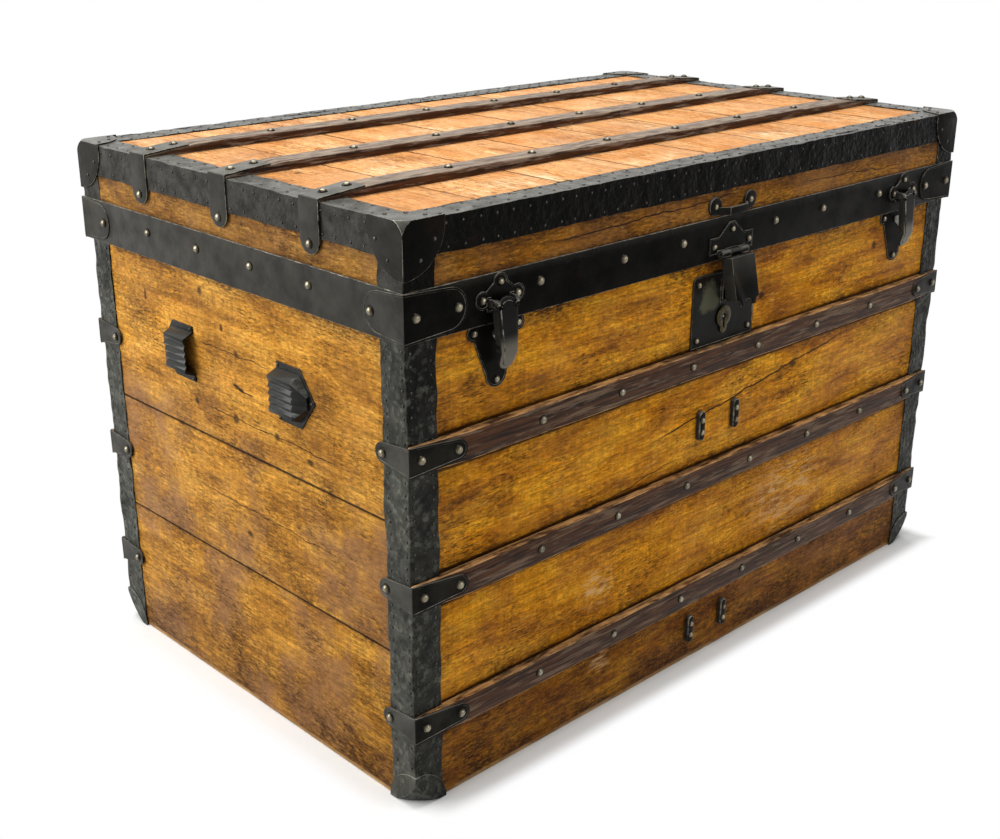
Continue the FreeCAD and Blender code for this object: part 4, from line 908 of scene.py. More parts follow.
@dataclass(frozen=True)
class SlatWood(Finish):
    """Ash slats, stained dark and varnished, worn back to the wood along their edges.

    The eye sees a dark brown strip with grey bloom on the flat and orange wood where edges rub; faces that
    look up also get the worn colour as a painted highlight.
    """

    dark: str = "#1A0F09"
    middle: str = "#4E2F19"
    grey: str = "#86725E"
    bare_and_highlight: str = "#D2A066"
    grey_share: float = 0.46
    fibres: Strokes = Strokes(2.2, 70.0, 5.0, 0.68, 0.3)
    bloom: Strokes = Strokes(4.5, 55.0, 5.0, 0.68, 0.3)
    rub: Strokes = Strokes(6.0, 30.0, 5.0, 0.68, 0.3)

    def make(self) -> Material:
        """Builds the material.

        Returns:
            The material.
        """
        material, tree = new_material(self.name)
        here = add(tree, "TexCoord").outputs["Object"]
        wear = add(tree, "Attribute", attribute_name="wear").outputs["Fac"]
        figure, bloom, rub = (strokes.draw(tree, here) for strokes in (self.fibres, self.bloom, self.rub))
        colour = add(tree, "ValToRGB", (figure,), stops=((0.4, self.dark), (0.6, self.middle)))
        greyed = add(tree, "MapRange", (bloom, 0.5, 0.62, 0.0, self.grey_share))
        colour = add(tree, "MixRGB", (greyed, colour, self.grey))
        rub = add(tree, "MapRange", (rub, 0.4, 0.6, 0.0, 0.95))
        rub = add(tree, "Math", (rub, wear), operation="MULTIPLY")
        colour = add(tree, "MixRGB", (rub, colour, self.bare_and_highlight))
        rough = add(tree, "MapRange", (bloom, 0.3, 0.7, 0.32, 0.55))
        bump = add(tree, "Bump", {"Strength": 0.5, "Distance": 0.6 * MM, "Height": figure})
        shader = add(tree, "BsdfPrincipled", {
            "Base Color": colour, "Roughness": rough, "IOR": 1.5, "Normal": bump, "Specular IOR Level": 0.1,
        })
        add(tree, "OutputMaterial", (shader,))
        return material


@dataclass(frozen=True)
class BlackIron(Finish):
    """Sheet iron, rolled, beaten to shape and japanned black.

    The eye sees a deep black with a soft gloss, brown bloom where rust starts, and grey metal along
    edges where the lacquer has gone.
    """

    deep: str = "#040403"
    worn: str = "#12110E"
    rust: str = "#24170D"
    bare_and_highlight: str = "#A39C8C"
    # Dust and a painted sheen on faces that look up, and a painted sheen on faces that look to the ends.
    dust_and_sheen: str = "#8A8880"
    dust_and_sheen_share: float = 0.45
    dust_and_sheen_from: float = 0.12
    end_sheen_share: float = 0.13
    dust_and_sheen_low: float = 0.75
    # Greyer towards the bottom.
    low_grey: float = 0.0
    low_grey_top: float = 340.0
    low_grey_fade: float = 80.0
    ridge_rub_and_highlight_share: float = 0.0
    # A painted grey reflection on the lower part of a tongue's raised panel.
    reflection_share: float = 0.0
    reflection_top: float = 0.0
    reflection_fade: float = 14.0
    # A painted pool of light round this point, in millimetres, in the colour below.
    lit_patch_at: tuple[float, float, float] | None = None
    rubbed: str = "#55543F"
    lit_patch_far: float = 42.0
    lit_patch_near: float = 35.0
    rust_share: float = 0.35
    rust_spread: float = 1.7
    rub_size: float = 9.0
    bare_share: float = 0.8
    blotch: float = 28.0
    beat: float = 6.0
    beat_depth: float = 0.25
    rough_low: float = 0.24
    rough_high: float = 0.48
    gloss: float = 0.07

    def make(self) -> Material:
        """Builds the material.

        Returns:
            The material.
        """
        material, tree = new_material(self.name)
        here = add(tree, "TexCoord").outputs["Object"]
        wear = add(tree, "Attribute", attribute_name="wear").outputs["Fac"]
        cloud = add(tree, "TexNoise", {
            "Vector": here, "Scale": 1 / (self.blotch * MM), "Detail": 6.0, "Roughness": 0.65,
        })
        colour = add(tree, "ValToRGB", (cloud,), stops=((0.38, self.deep), (0.66, self.worn)))
        bloom = add(tree, "TexNoise", {
            "Vector": here, "Scale": 1 / (self.rust_spread * self.blotch * MM), "Detail": 8.0,
            "Roughness": 0.7,
        })
        rusty = add(tree, "MapRange", (bloom, 0.52, 0.68, 0.0, self.rust_share))
        colour = add(tree, "MixRGB", (rusty, colour, self.rust))
        beaten = add(tree, "TexNoise", {
            "Vector": here, "Scale": 1 / (self.beat * MM), "Detail": 3.0, "Roughness": 0.5,
        })
        bump = add(tree, "Bump", {"Strength": 0.6, "Distance": self.beat_depth * MM, "Height": beaten})
        # Dust and a painted sheen grey whatever faces up, crease by crease, and a painted sheen greys both
        # ends thinly.
        facing = add(tree, "SeparateXYZ", (bump,))
        upward = add(tree, "MapRange", (facing.outputs["Z"], self.dust_and_sheen_from, 0.75, 0.0, self.dust_and_sheen_share))
        end_sheen = add(tree, "Math", (facing.outputs["X"],), operation="ABSOLUTE")
        end_sheen = add(tree, "MapRange", (end_sheen, 0.5, 0.95, 0.0, self.end_sheen_share))
        dust_and_sheen_mask = add(tree, "Math", (upward, end_sheen), operation="MAXIMUM")
        # Greyer towards the bottom.
        if self.low_grey:
            height = add(tree, "SeparateXYZ", (here,)).outputs["Z"]
            fade, full = (self.low_grey_top + self.low_grey_fade) * MM, self.low_grey_top * MM
            low = add(tree, "MapRange", (height, fade, full, 0.0, self.low_grey))
            dust_and_sheen_mask = add(tree, "Math", (dust_and_sheen_mask, low), operation="ADD")
        if self.ridge_rub_and_highlight_share:
            # Handling rubs the ridges between the dents grey, and the same grey is a painted highlight on
            # their crests.
            ridge = add(tree, "MapRange", (beaten, 0.52, 0.66, 0.0, self.ridge_rub_and_highlight_share))
            dust_and_sheen_mask = add(tree, "Math", (dust_and_sheen_mask, ridge), operation="ADD")
        patchy = add(tree, "MapRange", (cloud, 0.34, 0.64, self.dust_and_sheen_low, 1.25))
        dust_and_sheen_mask = add(tree, "Math", (dust_and_sheen_mask, patchy), operation="MULTIPLY", use_clamp=True)
        colour = add(tree, "MixRGB", (dust_and_sheen_mask, colour, self.dust_and_sheen))
        # A painted pool of light, where light passes under the hasp's leaf onto the lock plate.
        if self.lit_patch_at:
            spot = Vector(self.lit_patch_at) * MM
            reach = add(tree, "VectorMath", (here, spot), operation="DISTANCE").outputs["Value"]
            reach = add(tree, "Math", (cloud, 0.05, reach), operation="MULTIPLY_ADD")
            near = add(tree, "MapRange", (reach, self.lit_patch_far * MM, self.lit_patch_near * MM, 0.0, 0.75))
            colour = add(tree, "MixRGB", (near, colour, self.rubbed))
        # Worn faces show grey metal; the same grey is a painted highlight on the handle caps' noses and a
        # painted reflection on the tongues.
        rub = add(tree, "TexNoise", {
            "Vector": here, "Scale": 1 / (self.rub_size * MM), "Detail": 5.0, "Roughness": 0.7,
        })
        on_edge = add(tree, "MapRange", (rub, 0.4, 0.62, 0.0, self.bare_share))
        on_edge = add(tree, "Math", (on_edge, wear), operation="MULTIPLY")
        # A painted grey reflection on the lower part of each tongue's raised panel.
        if self.reflection_share:
            panel_reflection = add(tree, "Attribute", attribute_name="tone").outputs["Fac"]
            height = add(tree, "SeparateXYZ", (here,)).outputs["Z"]
            fade, full = self.reflection_top * MM, (self.reflection_top - self.reflection_fade) * MM
            fading = add(
                tree, "MapRange", (height, fade, full, 0.0, self.reflection_share), interpolation_type="SMOOTHSTEP",
            )
            panel_reflection = add(tree, "Math", (panel_reflection, fading), operation="MULTIPLY")
            on_edge = add(tree, "Math", (on_edge, panel_reflection), operation="MAXIMUM")
        colour = add(tree, "MixRGB", (on_edge, colour, self.bare_and_highlight))
        rough = add(tree, "MapRange", (cloud, 0.3, 0.7, self.rough_high, self.rough_low))
        metal = add(tree, "Math", (on_edge, 0.8), operation="MULTIPLY")
        shader = add(tree, "BsdfPrincipled", {
            "Base Color": colour, "Metallic": metal, "Roughness": rough, "Normal": bump,
            "Specular IOR Level": self.gloss,
        })
        add(tree, "OutputMaterial", (shader,))
        return material


@dataclass(frozen=True)
class BareMetal(Finish):
    """Pressed or turned metal with no lacquer, such as nickelled rivets, worn steel or brass.

    The eye sees a bright crown, dull grey or brown film in the low places, and fine handling marks.
    """

    bright: str = "#A89F87"
    dull: str = "#6E6655"
    film: str = "#17130D"
    film_share: float = 0.65
    crowned: bool = False
    grit: float = 3.0
    rough_low: float = 0.16
    rough_high: float = 0.34

    def make(self) -> Material:
        """Builds the material.

        Returns:
            The material.
        """
        material, tree = new_material(self.name)
        here = add(tree, "TexCoord").outputs["Object"]
        tone = add(tree, "Attribute", attribute_name="tone").outputs["Fac"]
        grit = add(tree, "TexNoise", {
            "Vector": here, "Scale": 1 / (self.grit * MM), "Detail": 5.0, "Roughness": 0.65,
        })
        mixed = add(tree, "MapRange", (grit, 0.35, 0.65, 0.0, 0.6))
        mixed = add(tree, "Math", (tone, 0.4, mixed), operation="MULTIPLY_ADD", use_clamp=True)
        colour = add(tree, "MixRGB", (mixed, self.bright, self.dull))
        filmy = add(tree, "TexNoise", {"Vector": here, "Scale": 1 / (3 * self.grit * MM), "Detail": 4.0})
        filmy = add(tree, "MapRange", (filmy, 0.48, 0.66, 0.0, self.film_share))
        if self.crowned:
            # Dirt and painted shade darken a ring round the foot of a head; its crown stays bright, partly
            # rubbed by hands and partly a painted highlight.
            crown = add(tree, "Attribute", attribute_name="wear").outputs["Fac"]
            foot_dirt_and_shade = add(tree, "MapRange", (crown, 0.1, 1.0, 0.95, 0.0))
            filmy = add(tree, "Math", (filmy, 0.5, foot_dirt_and_shade), operation="MULTIPLY_ADD", use_clamp=True)
        colour = add(tree, "MixRGB", (filmy, colour, self.film))
        rough = add(tree, "MapRange", (grit, 0.3, 0.7, self.rough_low, self.rough_high))
        bump = add(tree, "Bump", {"Strength": 0.25, "Distance": 0.1 * MM, "Height": grit})
        shader = add(tree, "BsdfPrincipled", {
            "Base Color": colour, "Metallic": 0.9, "Roughness": rough, "Normal": bump,
        })
        add(tree, "OutputMaterial", (shader,))
        return material


# Dirt and painted shade by height on the front, the back and the lid's rails: painted shade under the band
# and the lid's trim, and beside the slats.
WALL_GRIME_AND_SHADE = (
    (0.0, 1.0), (14.0, 0.85), (40.0, 0.55), (66.0, 0.6), (75.0, 0.95), (107.0, 0.9), (113.0, 0.45),
    (128.0, 0.12), (196.0, 0.1), (206.0, 0.35), (214.0, 0.95), (246.0, 0.9), (251.0, 0.4), (266.0, 0.1),
    (332.0, 0.1), (342.0, 0.35), (350.0, 0.95), (382.0, 0.85), (387.0, 0.35), (402.0, 0.05), (450.0, 0.1),
    (462.0, 0.45), (474.0, 0.95), (520.0, 0.85), (524.0, 0.4), (532.0, 0.3), (540.0, 0.65), (548.0, 1.0),
)
# Dirt, dark joints and painted shade by height on the ends: darker towards the bottom, with painted shade
# under the band and the trims.
END_GRIME_AND_SHADE = (
    (0.0, 1.0), (18.0, 0.85), (60.0, 0.6), (110.0, 0.42), (150.0, 0.4), (159.0, 0.6), (162.0, 0.85),
    (165.0, 0.5), (178.0, 0.4), (240.0, 0.36), (285.0, 0.42), (294.0, 0.5), (297.0, 0.85), (301.0, 0.5),
    (316.0, 0.3), (355.0, 0.1), (440.0, 0.05), (462.0, 0.25), (474.0, 0.9), (520.0, 0.8), (524.0, 0.35),
    (535.0, 0.2), (548.0, 0.9),
)
# Its lines are painted shadows along the slats' edges, and some of its dark spots are painted shade under the
# cleats.
FRONT_PINE = OldPine(
    "Varnished pine, front boards", "box_wood", grime_and_shade_levels=WALL_GRIME_AND_SHADE, low_board=91.0, foot=4.0,
    shadow_lines=(72.0, 106.0, 211.0, 245.0, 347.0, 381.0),
    dark="#8C5006", middle="#BC790C", light="#DC9F22", blush_share=0.16, stain_share=0.5,
    cracks=(Crack((-130, 287), (265, 342), 1.5), Crack((-260, 236), (-60, 262), 0.7)),
    knots=(Spot((140, 322), 5.0, 1.6), Spot((292, 438), 6.0, 0.8), Spot((69, 418), 5.0)),
    rubs=(Spot((150, 160), 60.0, 1.5), Spot((-190, 150), 28.0, 1.2), Spot((-180, 55), 20.0)),
    smudges_and_shadows=(
        Spot((-376, 454), 22.0, 1.2), Spot((-367, 423), 20.0), Spot((-382, 312), 32.0, 1.2),
        Spot((-330, 290), 26.0, 1.6), Spot((64, 430), 34.0, 0.8), Spot((-32, 268), 24.0, 0.6),
        Spot((30, 268), 22.0, 0.6), Spot((-120, 350), 22.0, 2.5),
    ),
)
BACK_PINE = replace(
    FRONT_PINE, name="Varnished pine, back boards", cracks=(Crack((-220, 412), (30, 402), 0.7),),
    knots=(Spot((-210, 260), 6.0, 1.5),), rubs=(), smudges_and_shadows=(),
)
# Some of its dark spots are painted shade under the handle caps.
LEFT_PINE = OldPine(
    "Varnished pine, left end", "box_wood", grain=Axis.Y, along=Axis.Y, grime_and_shade_levels=END_GRIME_AND_SHADE,
    grime_ends=(205.0, 272.0), blush_share=0.72, blush_top=318.0, stain_share=0.45, foot=4.0,
    dark="#8A5A1A", middle="#AE7828", light="#C8943E",
    cracks=(
        Crack((75, 401), (-65, 400), 0.7), Crack((80, 331), (-190, 330), 0.8),
        Crack((110, 236), (-160, 232), 0.7), Crack((8, 366), (-14, 366), 3.4),
        Crack((-4, 365), (-30, 364), 1.3),
    ),
    knots=(
        Spot((-7, 205), 5.0, 1.2), Spot((-120, 320), 4.0, 2.0), Spot((167, 429), 8.0, 0.5),
        Spot((57, 456), 6.0), Spot((21, 424), 5.0, 0.7), Spot((-3, 401), 6.0), Spot((77, 331), 6.0),
        Spot((5, 331), 6.0), Spot((-67, 331), 5.0),
    ),
    smudges_and_shadows=(
        Spot((-150, 392), 24.0, 1.2), Spot((-105, 346), 26.0, 1.3), Spot((76, 346), 26.0),
        Spot((120, 312), 34.0, 2.2), Spot((-30, 308), 26.0, 3.0), Spot((60, 250), 36.0, 1.8),
        Spot((-150, 265), 30.0, 1.5), Spot((190, 400), 60.0), Spot((150, 455), 40.0, 1.6),
        Spot((40, 440), 30.0, 1.8), Spot((-20, 395), 24.0, 1.6),
    ),
)
RIGHT_PINE = replace(
    LEFT_PINE, name="Varnished pine, right end", blush_share=0.7, blush_top=300.0, dark="#8E5C16",
    middle="#B47C22", light="#CE9836", cracks=(Crack((120, 250), (-90, 246), 0.7),),
    knots=(Spot((60, 330), 5.0, 1.6),), smudges_and_shadows=(),
)
RAIL_PINE = OldPine(
    "Varnished pine, lid rails", "lid_wood", grime_and_shade_levels=WALL_GRIME_AND_SHADE, stain_share=0.65,
    deep="#341C06", dark="#6C400A", middle="#905A10", light="#AA741E",
    cracks=(Crack((-285, 533), (30, 541), 1.1), Crack((120, 536), (330, 530), 0.8)),
)
END_RAIL_PINE = OldPine(
    "Varnished pine, lid end rails", "lid_wood", grain=Axis.Y, along=Axis.Y, grime_and_shade_levels=END_GRIME_AND_SHADE,
    grime_ends=(205.0, 272.0), deep="#3E2408", dark="#6C4616", middle="#8E6226", light="#A67A3A",
)
LID_PINE = OldPine(
    "Sun-faded pine, lid top", "lid_wood", grain=Axis.Y, along=Axis.X, up=Axis.Y,
    deep="#8C5222", dark="#AE7036", middle="#C68E58", light="#D6A87A", stain="#74421C", speck="#3C2210",
    pale="#DCC6A0", scuff="#E0BE92", blush="#C98A50", stain_share=0.55, speck_share=0.7, blush_share=0.4,
    grime_ends=(398.0, 418.0), seam_pitch=LID_SEAM_PITCH, seam_start=LID_SEAM_START,
    knots=(Spot((-375, -32), 5.0),),
    rubs=(
        Spot((-260, -212), 34.0, 3.0), Spot((-60, -222), 30.0, 2.5), Spot((150, -215), 34.0, 2.0),
        Spot((-300, -80), 30.0, 1.5), Spot((-120, 70), 34.0, 1.5), Spot((240, 90), 30.0, 2.0),
    ),
)
INNER_PINE = OldPine(
    "Bare pine, inside faces", "box_wood", deep="#8A6638", dark="#A57C48", middle="#BD9460", light="#CFA878",
    stain="#7A5A36", speck="#4C3620", blush="#A98A64", scuff="#D8B688", grime_ends=(900.0, 901.0),
    stain_share=0.35, speck_share=0.35, blush_share=0.2,
)
CROSS_PINE = replace(INNER_PINE, name="Bare pine, inside of ends and lid", grain=Axis.Y)
WALL_SLAT = SlatWood("Stained ash, wall slats", "slat_wood")
# The top slats' stronger grey bloom and pale grey worn colour partly stand for a painted sheen on their upper
# faces.
TOP_SLAT = SlatWood("Stained ash, top slats", "slat_wood", grey="#958A7E", bare_and_highlight="#978773", grey_share=0.6)
SMOOTH_IRON = BlackIron("Japanned sheet iron, flat", "black_iron", bare_share=0.55, gloss=0.025)
CLAMP_IRON = replace(
    SMOOTH_IRON, name="Japanned sheet iron, slat clamps", deep="#0C0B09", worn="#25241E", gloss=0.04,
)
BEATEN_IRON = BlackIron(
    "Japanned sheet iron, lid trims", "black_iron", blotch=16.0, beat=7.0, beat_depth=3.2, rust_share=0.3,
    worn="#0E0D0B", rough_low=0.14, rough_high=0.36, gloss=0.03, end_sheen_share=0.14, dust_and_sheen_share=0.42,
    dust_and_sheen_low=0.45, dust_and_sheen_from=0.3,
)
ANGLE_IRON = replace(
    BEATEN_IRON, name="Japanned sheet iron, corner angles", deep="#060605", worn="#191813", gloss=0.06,
    end_sheen_share=0.12, dust_and_sheen="#84857A", dust_and_sheen_share=0.65, dust_and_sheen_low=0.4, dust_and_sheen_from=0.12, low_grey=0.06,
    ridge_rub_and_highlight_share=0.18,
)
CAP_IRON = BlackIron(
    "Japanned sheet iron, corner caps", "black_iron", beat=9.0, beat_depth=0.9, rough_low=0.14,
    rough_high=0.34, gloss=0.03, worn="#0B0A08", end_sheen_share=0.08, dust_and_sheen_share=0.4,
)
HANDLE_IRON = BlackIron(
    "Pressed iron, handle caps", "black_iron", deep="#0A0B0A", worn="#1C1E1C", beat=7.0, beat_depth=0.2,
    dust_and_sheen_share=0.12, end_sheen_share=0.02, rough_low=0.1, rough_high=0.26, gloss=0.14, bare_and_highlight="#8A9088",
)
CAST_IRON = BlackIron(
    "Japanned cast iron, fittings", "black_iron", beat=9.0, beat_depth=0.15, bare_share=0.6, gloss=0.04,
)
GLOSS_IRON = BlackIron(
    "Polished black iron, latch tongues", "black_iron", beat=12.0, beat_depth=0.15, rough_low=0.08,
    rough_high=0.22, gloss=0.08, dust_and_sheen_share=0.25, reflection_share=0.3, reflection_top=TONGUE_MIDDLE,
)
HASP_IRON = BlackIron(
    "Polished black iron, hasp", "black_iron", beat=12.0, beat_depth=0.15, rough_low=0.1, rough_high=0.26,
    gloss=0.03, worn="#0B0A08", dust_and_sheen_share=0.2, bare_share=0.4,
)
# Its olive patch beside the hasp is a painted pool of light.
LOCK_IRON = BlackIron(
    "Japanned cast iron, lock plate", "black_iron", beat=9.0, beat_depth=0.3,
    lit_patch_at=(-26.0, -271.0, 432.0),
)
RIVET_METAL = BareMetal("Nickelled steel, domed rivets", "rivet_steel", crowned=True)
TACK_METAL = BareMetal(
    "Blackened steel, tacks", "rivet_steel", bright="#5C584E", dull="#2C2A26", film="#12110F", crowned=True,
)
LOCK_STEEL = BareMetal(
    "Oiled steel, lock works", "black_iron", bright="#8C8980", dull="#5A5852", film="#3A3732",
)
BRASS = BareMetal(
    "Tarnished brass, escutcheon", "escutcheon_brass", bright="#463C24", dull="#221D10", film="#100E09",
    film_share=0.9,
)


@dataclass
class BoxWalls:
    """Walls of boards and the bottom panel. The front's and back's seams lie behind the slats."""

    end_seams: tuple[float, ...] = (162.0, 297.0)
    covered_seams: tuple[float, ...] = (91.0, 230.0, 366.0)
    edge: float = 1.3

    def wall(self, node: str, side: Side, finish: Finish, seed: int) -> None:
        """Builds and dresses one wall.

        Args:
            node: CAD node of the wall.
            side: side of the trunk that it stands on.
            finish: finish of its outer face.
            seed: start of the boards' tones.
        """
        dice = random.Random(seed)
        on_end = side in (Side.LEFT, Side.RIGHT)
        seams = self.end_seams if on_end else self.covered_seams
        boards = cad_parts(node, lambda point: sum(point.z > seam for seam in seams))
        whole = join(set_tone(soften(board, self.edge), dice.random()) for board in boards)
        dress(node, line_inside(whole, side), finish, CROSS_PINE if on_end else INNER_PINE)

    def build(self) -> None:
        """Builds all walls and dresses the bottom."""
        self.wall("front_boards", Side.FRONT, FRONT_PINE, 11)
        self.wall("back_boards", Side.BACK, BACK_PINE, 12)
        self.wall("left_end_boards", Side.LEFT, LEFT_PINE, 13)
        self.wall("right_end_boards", Side.RIGHT, RIGHT_PINE, 14)
        dress_node("bottom_panel", INNER_PINE)


@dataclass
class LidWood:
    """Top boards and rails of the lid."""

    edge: float = 1.2
    seed: int = 21

    def build(self) -> None:
        """Builds and dresses the lid's woodwork."""
        dice = random.Random(self.seed)
        boards = cad_parts("lid_top_boards", lambda point: (point.x - LID_SEAM_START) // LID_SEAM_PITCH)
        whole = join(set_tone(soften(board, self.edge), dice.random()) for board in boards)
        dress("lid_top_boards", line_inside(whole, Side.TOP), LID_PINE, CROSS_PINE)
        for side in (Side.FRONT, Side.BACK, Side.LEFT, Side.RIGHT):
            node = "lid_" + side.name.lower() + "_rail"
            finish = END_RAIL_PINE if side in (Side.LEFT, Side.RIGHT) else RAIL_PINE
            rail = set_tone(soften(cad_copy(node), self.edge), dice.random())
            dress(node, line_inside(rail, side), finish, INNER_PINE)


@dataclass
class SlatSet:
    """Slats of the front, the back and the lid's top."""

    edge: float = 2.6
    pitch: float = 14.0
    wave: float = 45.0
    sway: float = 0.45
    upward_slope: float = 0.4
    wall_wear_and_highlight: float = 1.0
    top_wear_and_sheen: float = 0.75

    def build(self) -> None:
        """Builds and dresses all slats."""
        levels = ("upper", "middle", "lower")
        rows = {"front_slat_": levels, "back_slat_": levels, "top_slat_": ("front", "middle", "back")}
        nodes = [family + member for family, members in rows.items() for member in members]
        for seed, node in enumerate(nodes, 1):
            on_top = node.startswith("top")
            slat = soften(cad_copy(node), self.edge, 3)
            wear = slat.faces.layers.float["wear"]
            # Faces that look up are marked worn and carry a painted highlight: tan on the wall slats, a pale
            # grey sheen on the top slats.
            for face in slat.faces:
                if face.normal.z > self.upward_slope:
                    face[wear] = self.top_wear_and_sheen if on_top else self.wall_wear_and_highlight
            slice_up(slat, Axis.X, self.pitch)
            waver(slat, self.wave, self.sway, seed)
            dress(node, slat, TOP_SLAT if on_top else WALL_SLAT)


@dataclass
class BeatenIron:
    """Thin iron beaten over the corners and the lid's edges, with its rows of tacks."""

    pitch: float = 5.0
    wave: float = 34.0
    sway: float = 1.5
    crease: float = 13.0
    crease_depth: float = 0.9
    edge: float = 0.45
    tack_radius: float = 1.7
    tack_height: float = 0.9
    tack_inset: float = 5.0
    tack_drift: float = 1.6
    tack_least: float = 0.85
    tack_most: float = 1.1
    tack_segments: int = 8
    tack_rings: int = 2
    angle_tack_pitch: float = 12.0
    trim_tack_pitch: float = 20.0
    angle_arm: float = 33.0
    sheet: float = 1.5
    sink: float = 0.5
    cap_share: float = 0.3
    seat_reach: float = 6.0
    angle_foot: float = 45.0
    angle_head: float = 8.0
    trim_levels: tuple[float, float] = (7.0, 28.0)
    trim_insets: tuple[float, float] = (8.0, 26.0)
    trim_clear: float = 48.0
    seed: int = 5

    def sheet_piece(
        self, node: str, key: Callable[[Vector], Any], seed: float, finish: Finish, share: float = 1.0
    ) -> BVHTree:
        """Builds and dresses one node of beaten sheet.

        Args:
            node: CAD node.
            key: tells its solids apart.
            seed: place in the noise.
            finish: finish of the sheet.
            share: share of the waves and the bright edges that it takes.

        Returns:
            The sheet's surface, for what sits on it.
        """
        parts = []
        for i, part in enumerate(cad_parts(node, key)):
            soften(part, self.edge, 1)
            for axis in Axis:
                slice_up(part, axis, self.pitch)
            wear = part.faces.layers.float["wear"]
            for face in part.faces:
                face[wear] *= share
            # The sheet dents by less than its thickness, so that the wood under it stays covered.
            waver(part, self.wave, share * self.sway, seed + i, self.sink)
            parts.append(waver(part, self.crease, share * self.crease_depth, seed + i, self.sink))
        whole = join(parts)
        surface = BVHTree.FromBMesh(whole)
        dress(node, whole, finish)
        return surface

    def tack_row(
        self, surface: BVHTree, start: Vector, end: Vector, out: Vector, pitch: float, dice: random.Random
    ) -> list[HeadPlace]:
        """Feet of tacks in a row that was set by eye.

        Args:
            surface: sheet that the tacks sit on.
            start: first end of the row in millimetres.
            end: last end of the row.
            out: direction of the heads.
            pitch: distance between tacks.
            dice: source of the small errors.

        Returns:
            Foot, direction and scale of each tack.
        """
        count = max(2, round((end - start).length / pitch))
        places = []
        for i in range(count + 1):
            off = (end - start).normalized() * dice.uniform(-self.tack_drift, self.tack_drift)
            foot = (start.lerp(end, i / count) + off) * MM
            seat = surface.ray_cast(foot + out * self.seat_reach * MM, -out, 2 * self.seat_reach * MM)[0]
            places.append((seat or foot, out, dice.uniform(self.tack_least, self.tack_most)))
        return places

    def build(self) -> None:
        """Builds and dresses the sheet and sets the tacks."""
        angles = self.sheet_piece("corner_angles", corner_of, 3.0, ANGLE_IRON)
        self.sheet_piece("bottom_corner_caps", corner_of, 3.0, ANGLE_IRON, self.cap_share)
        self.sheet_piece("lid_corner_angles", corner_of, 7.0, BEATEN_IRON)
        trims = self.sheet_piece("lid_edge_trims", edge_of, 11.0, BEATEN_IRON)
        dice = random.Random(self.seed)
        rows = (
            ("corner_angle_tacks", self.angle_tacks(angles, dice), "trunk_box"),
            ("lid_trim_tacks", self.trim_tacks(trims, dice), "lid"),
        )
        for name, places, body in rows:
            head = dome(self.tack_radius, self.tack_height, self.tack_segments, self.tack_rings)
            place_piece(name, scatter(head, places), (TACK_METAL,), body)

    def angle_tacks(self, surface: BVHTree, dice: random.Random) -> list[HeadPlace]:
        """Rows of tacks on both arms of each corner angle.

        Args:
            surface: surface of the corner angles.
            dice: source of the small errors.

        Returns:
            Foot, direction and scale of each tack.
        """
        low, high = (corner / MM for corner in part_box("corner_angles"))
        foot, head = low.z + self.angle_foot, high.z - self.angle_head
        places = []
        for sx in (-1, 1):
            for sy in (-1, 1):
                for inset in (self.tack_inset, self.angle_arm - self.tack_inset):
                    on_y = sx * (high.x - inset), sy * high.y, Vector((0, sy, 0))
                    on_x = sx * high.x, sy * (high.y - inset), Vector((sx, 0, 0))
                    for x, y, out in (on_y, on_x):
                        start, end = Vector((x, y, foot)), Vector((x, y, head))
                        places += self.tack_row(surface, start, end, out, self.angle_tack_pitch, dice)
        return places

    def trim_tacks(self, surface: BVHTree, dice: random.Random) -> list[HeadPlace]:
        """Rows of tacks on the sides and the top of the lid's trims.

        Args:
            surface: surface of the trims.
            dice: source of the small errors.

        Returns:
            Foot, direction and scale of each tack.
        """
        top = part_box("lid_edge_trims")[1].z / MM
        run_x, run_y = LID_REACH - self.trim_clear, LID_DEPTH - self.trim_clear
        rows = [(0.0, top - drop) for drop in self.trim_levels] + [(inset, top) for inset in self.trim_insets]
        places = []
        for s in (-1, 1):
            for inset, z in rows:
                x, y = s * (LID_REACH + self.sheet - inset), s * (LID_DEPTH + self.sheet - inset)
                along_x = Vector((-run_x, y, z)), Vector((run_x, y, z)), UP if inset else Vector((0, s, 0))
                along_y = Vector((x, -run_y, z)), Vector((x, run_y, z)), UP if inset else Vector((s, 0, 0))
                for start, end, out in (along_x, along_y):
                    places += self.tack_row(surface, start, end, out, self.trim_tack_pitch, dice)
        return places


@dataclass
class FlatIron:
    """Bands, clips, clamps, straps and the rounded corner caps."""

    edge: float = 0.6
    cap_edge: float = 0.7
    cap_crisp: float = 40.0
    rim: float = 1.6
    line: float = 0.4
    shine: float = 0.6
    outward: float = 0.3

    def outside(self, face: BMFace) -> bool:
        """Tells the outer faces of a strap that is bent round a corner."""
        middle = face.calc_center_median()
        return any(face.normal[i] * math.copysign(1, middle[i]) > self.outward for i in (0, 1))

    def build(self) -> None:
        """Builds and dresses the flat ironwork."""
        bands = join(soften(part, self.edge) for part in cad_parts("lid_bands", edge_of))
        dress("lid_bands", bands, SMOOTH_IRON)
        for node, finish in (("slat_corner_clamps", CLAMP_IRON), ("band_corner_clips", SMOOTH_IRON)):
            straps = emboss(soften(cad_copy(node), self.edge), self.outside, self.rim, self.line, self.shine)
            dress(node, straps, finish)
        dress("top_slat_straps", soften(cad_copy("top_slat_straps"), self.edge), SMOOTH_IRON)
        caps = soften(cad_copy("lid_corner_caps"), self.cap_edge, 3)
        dress("lid_corner_caps", caps, CAP_IRON, crisp=self.cap_crisp)


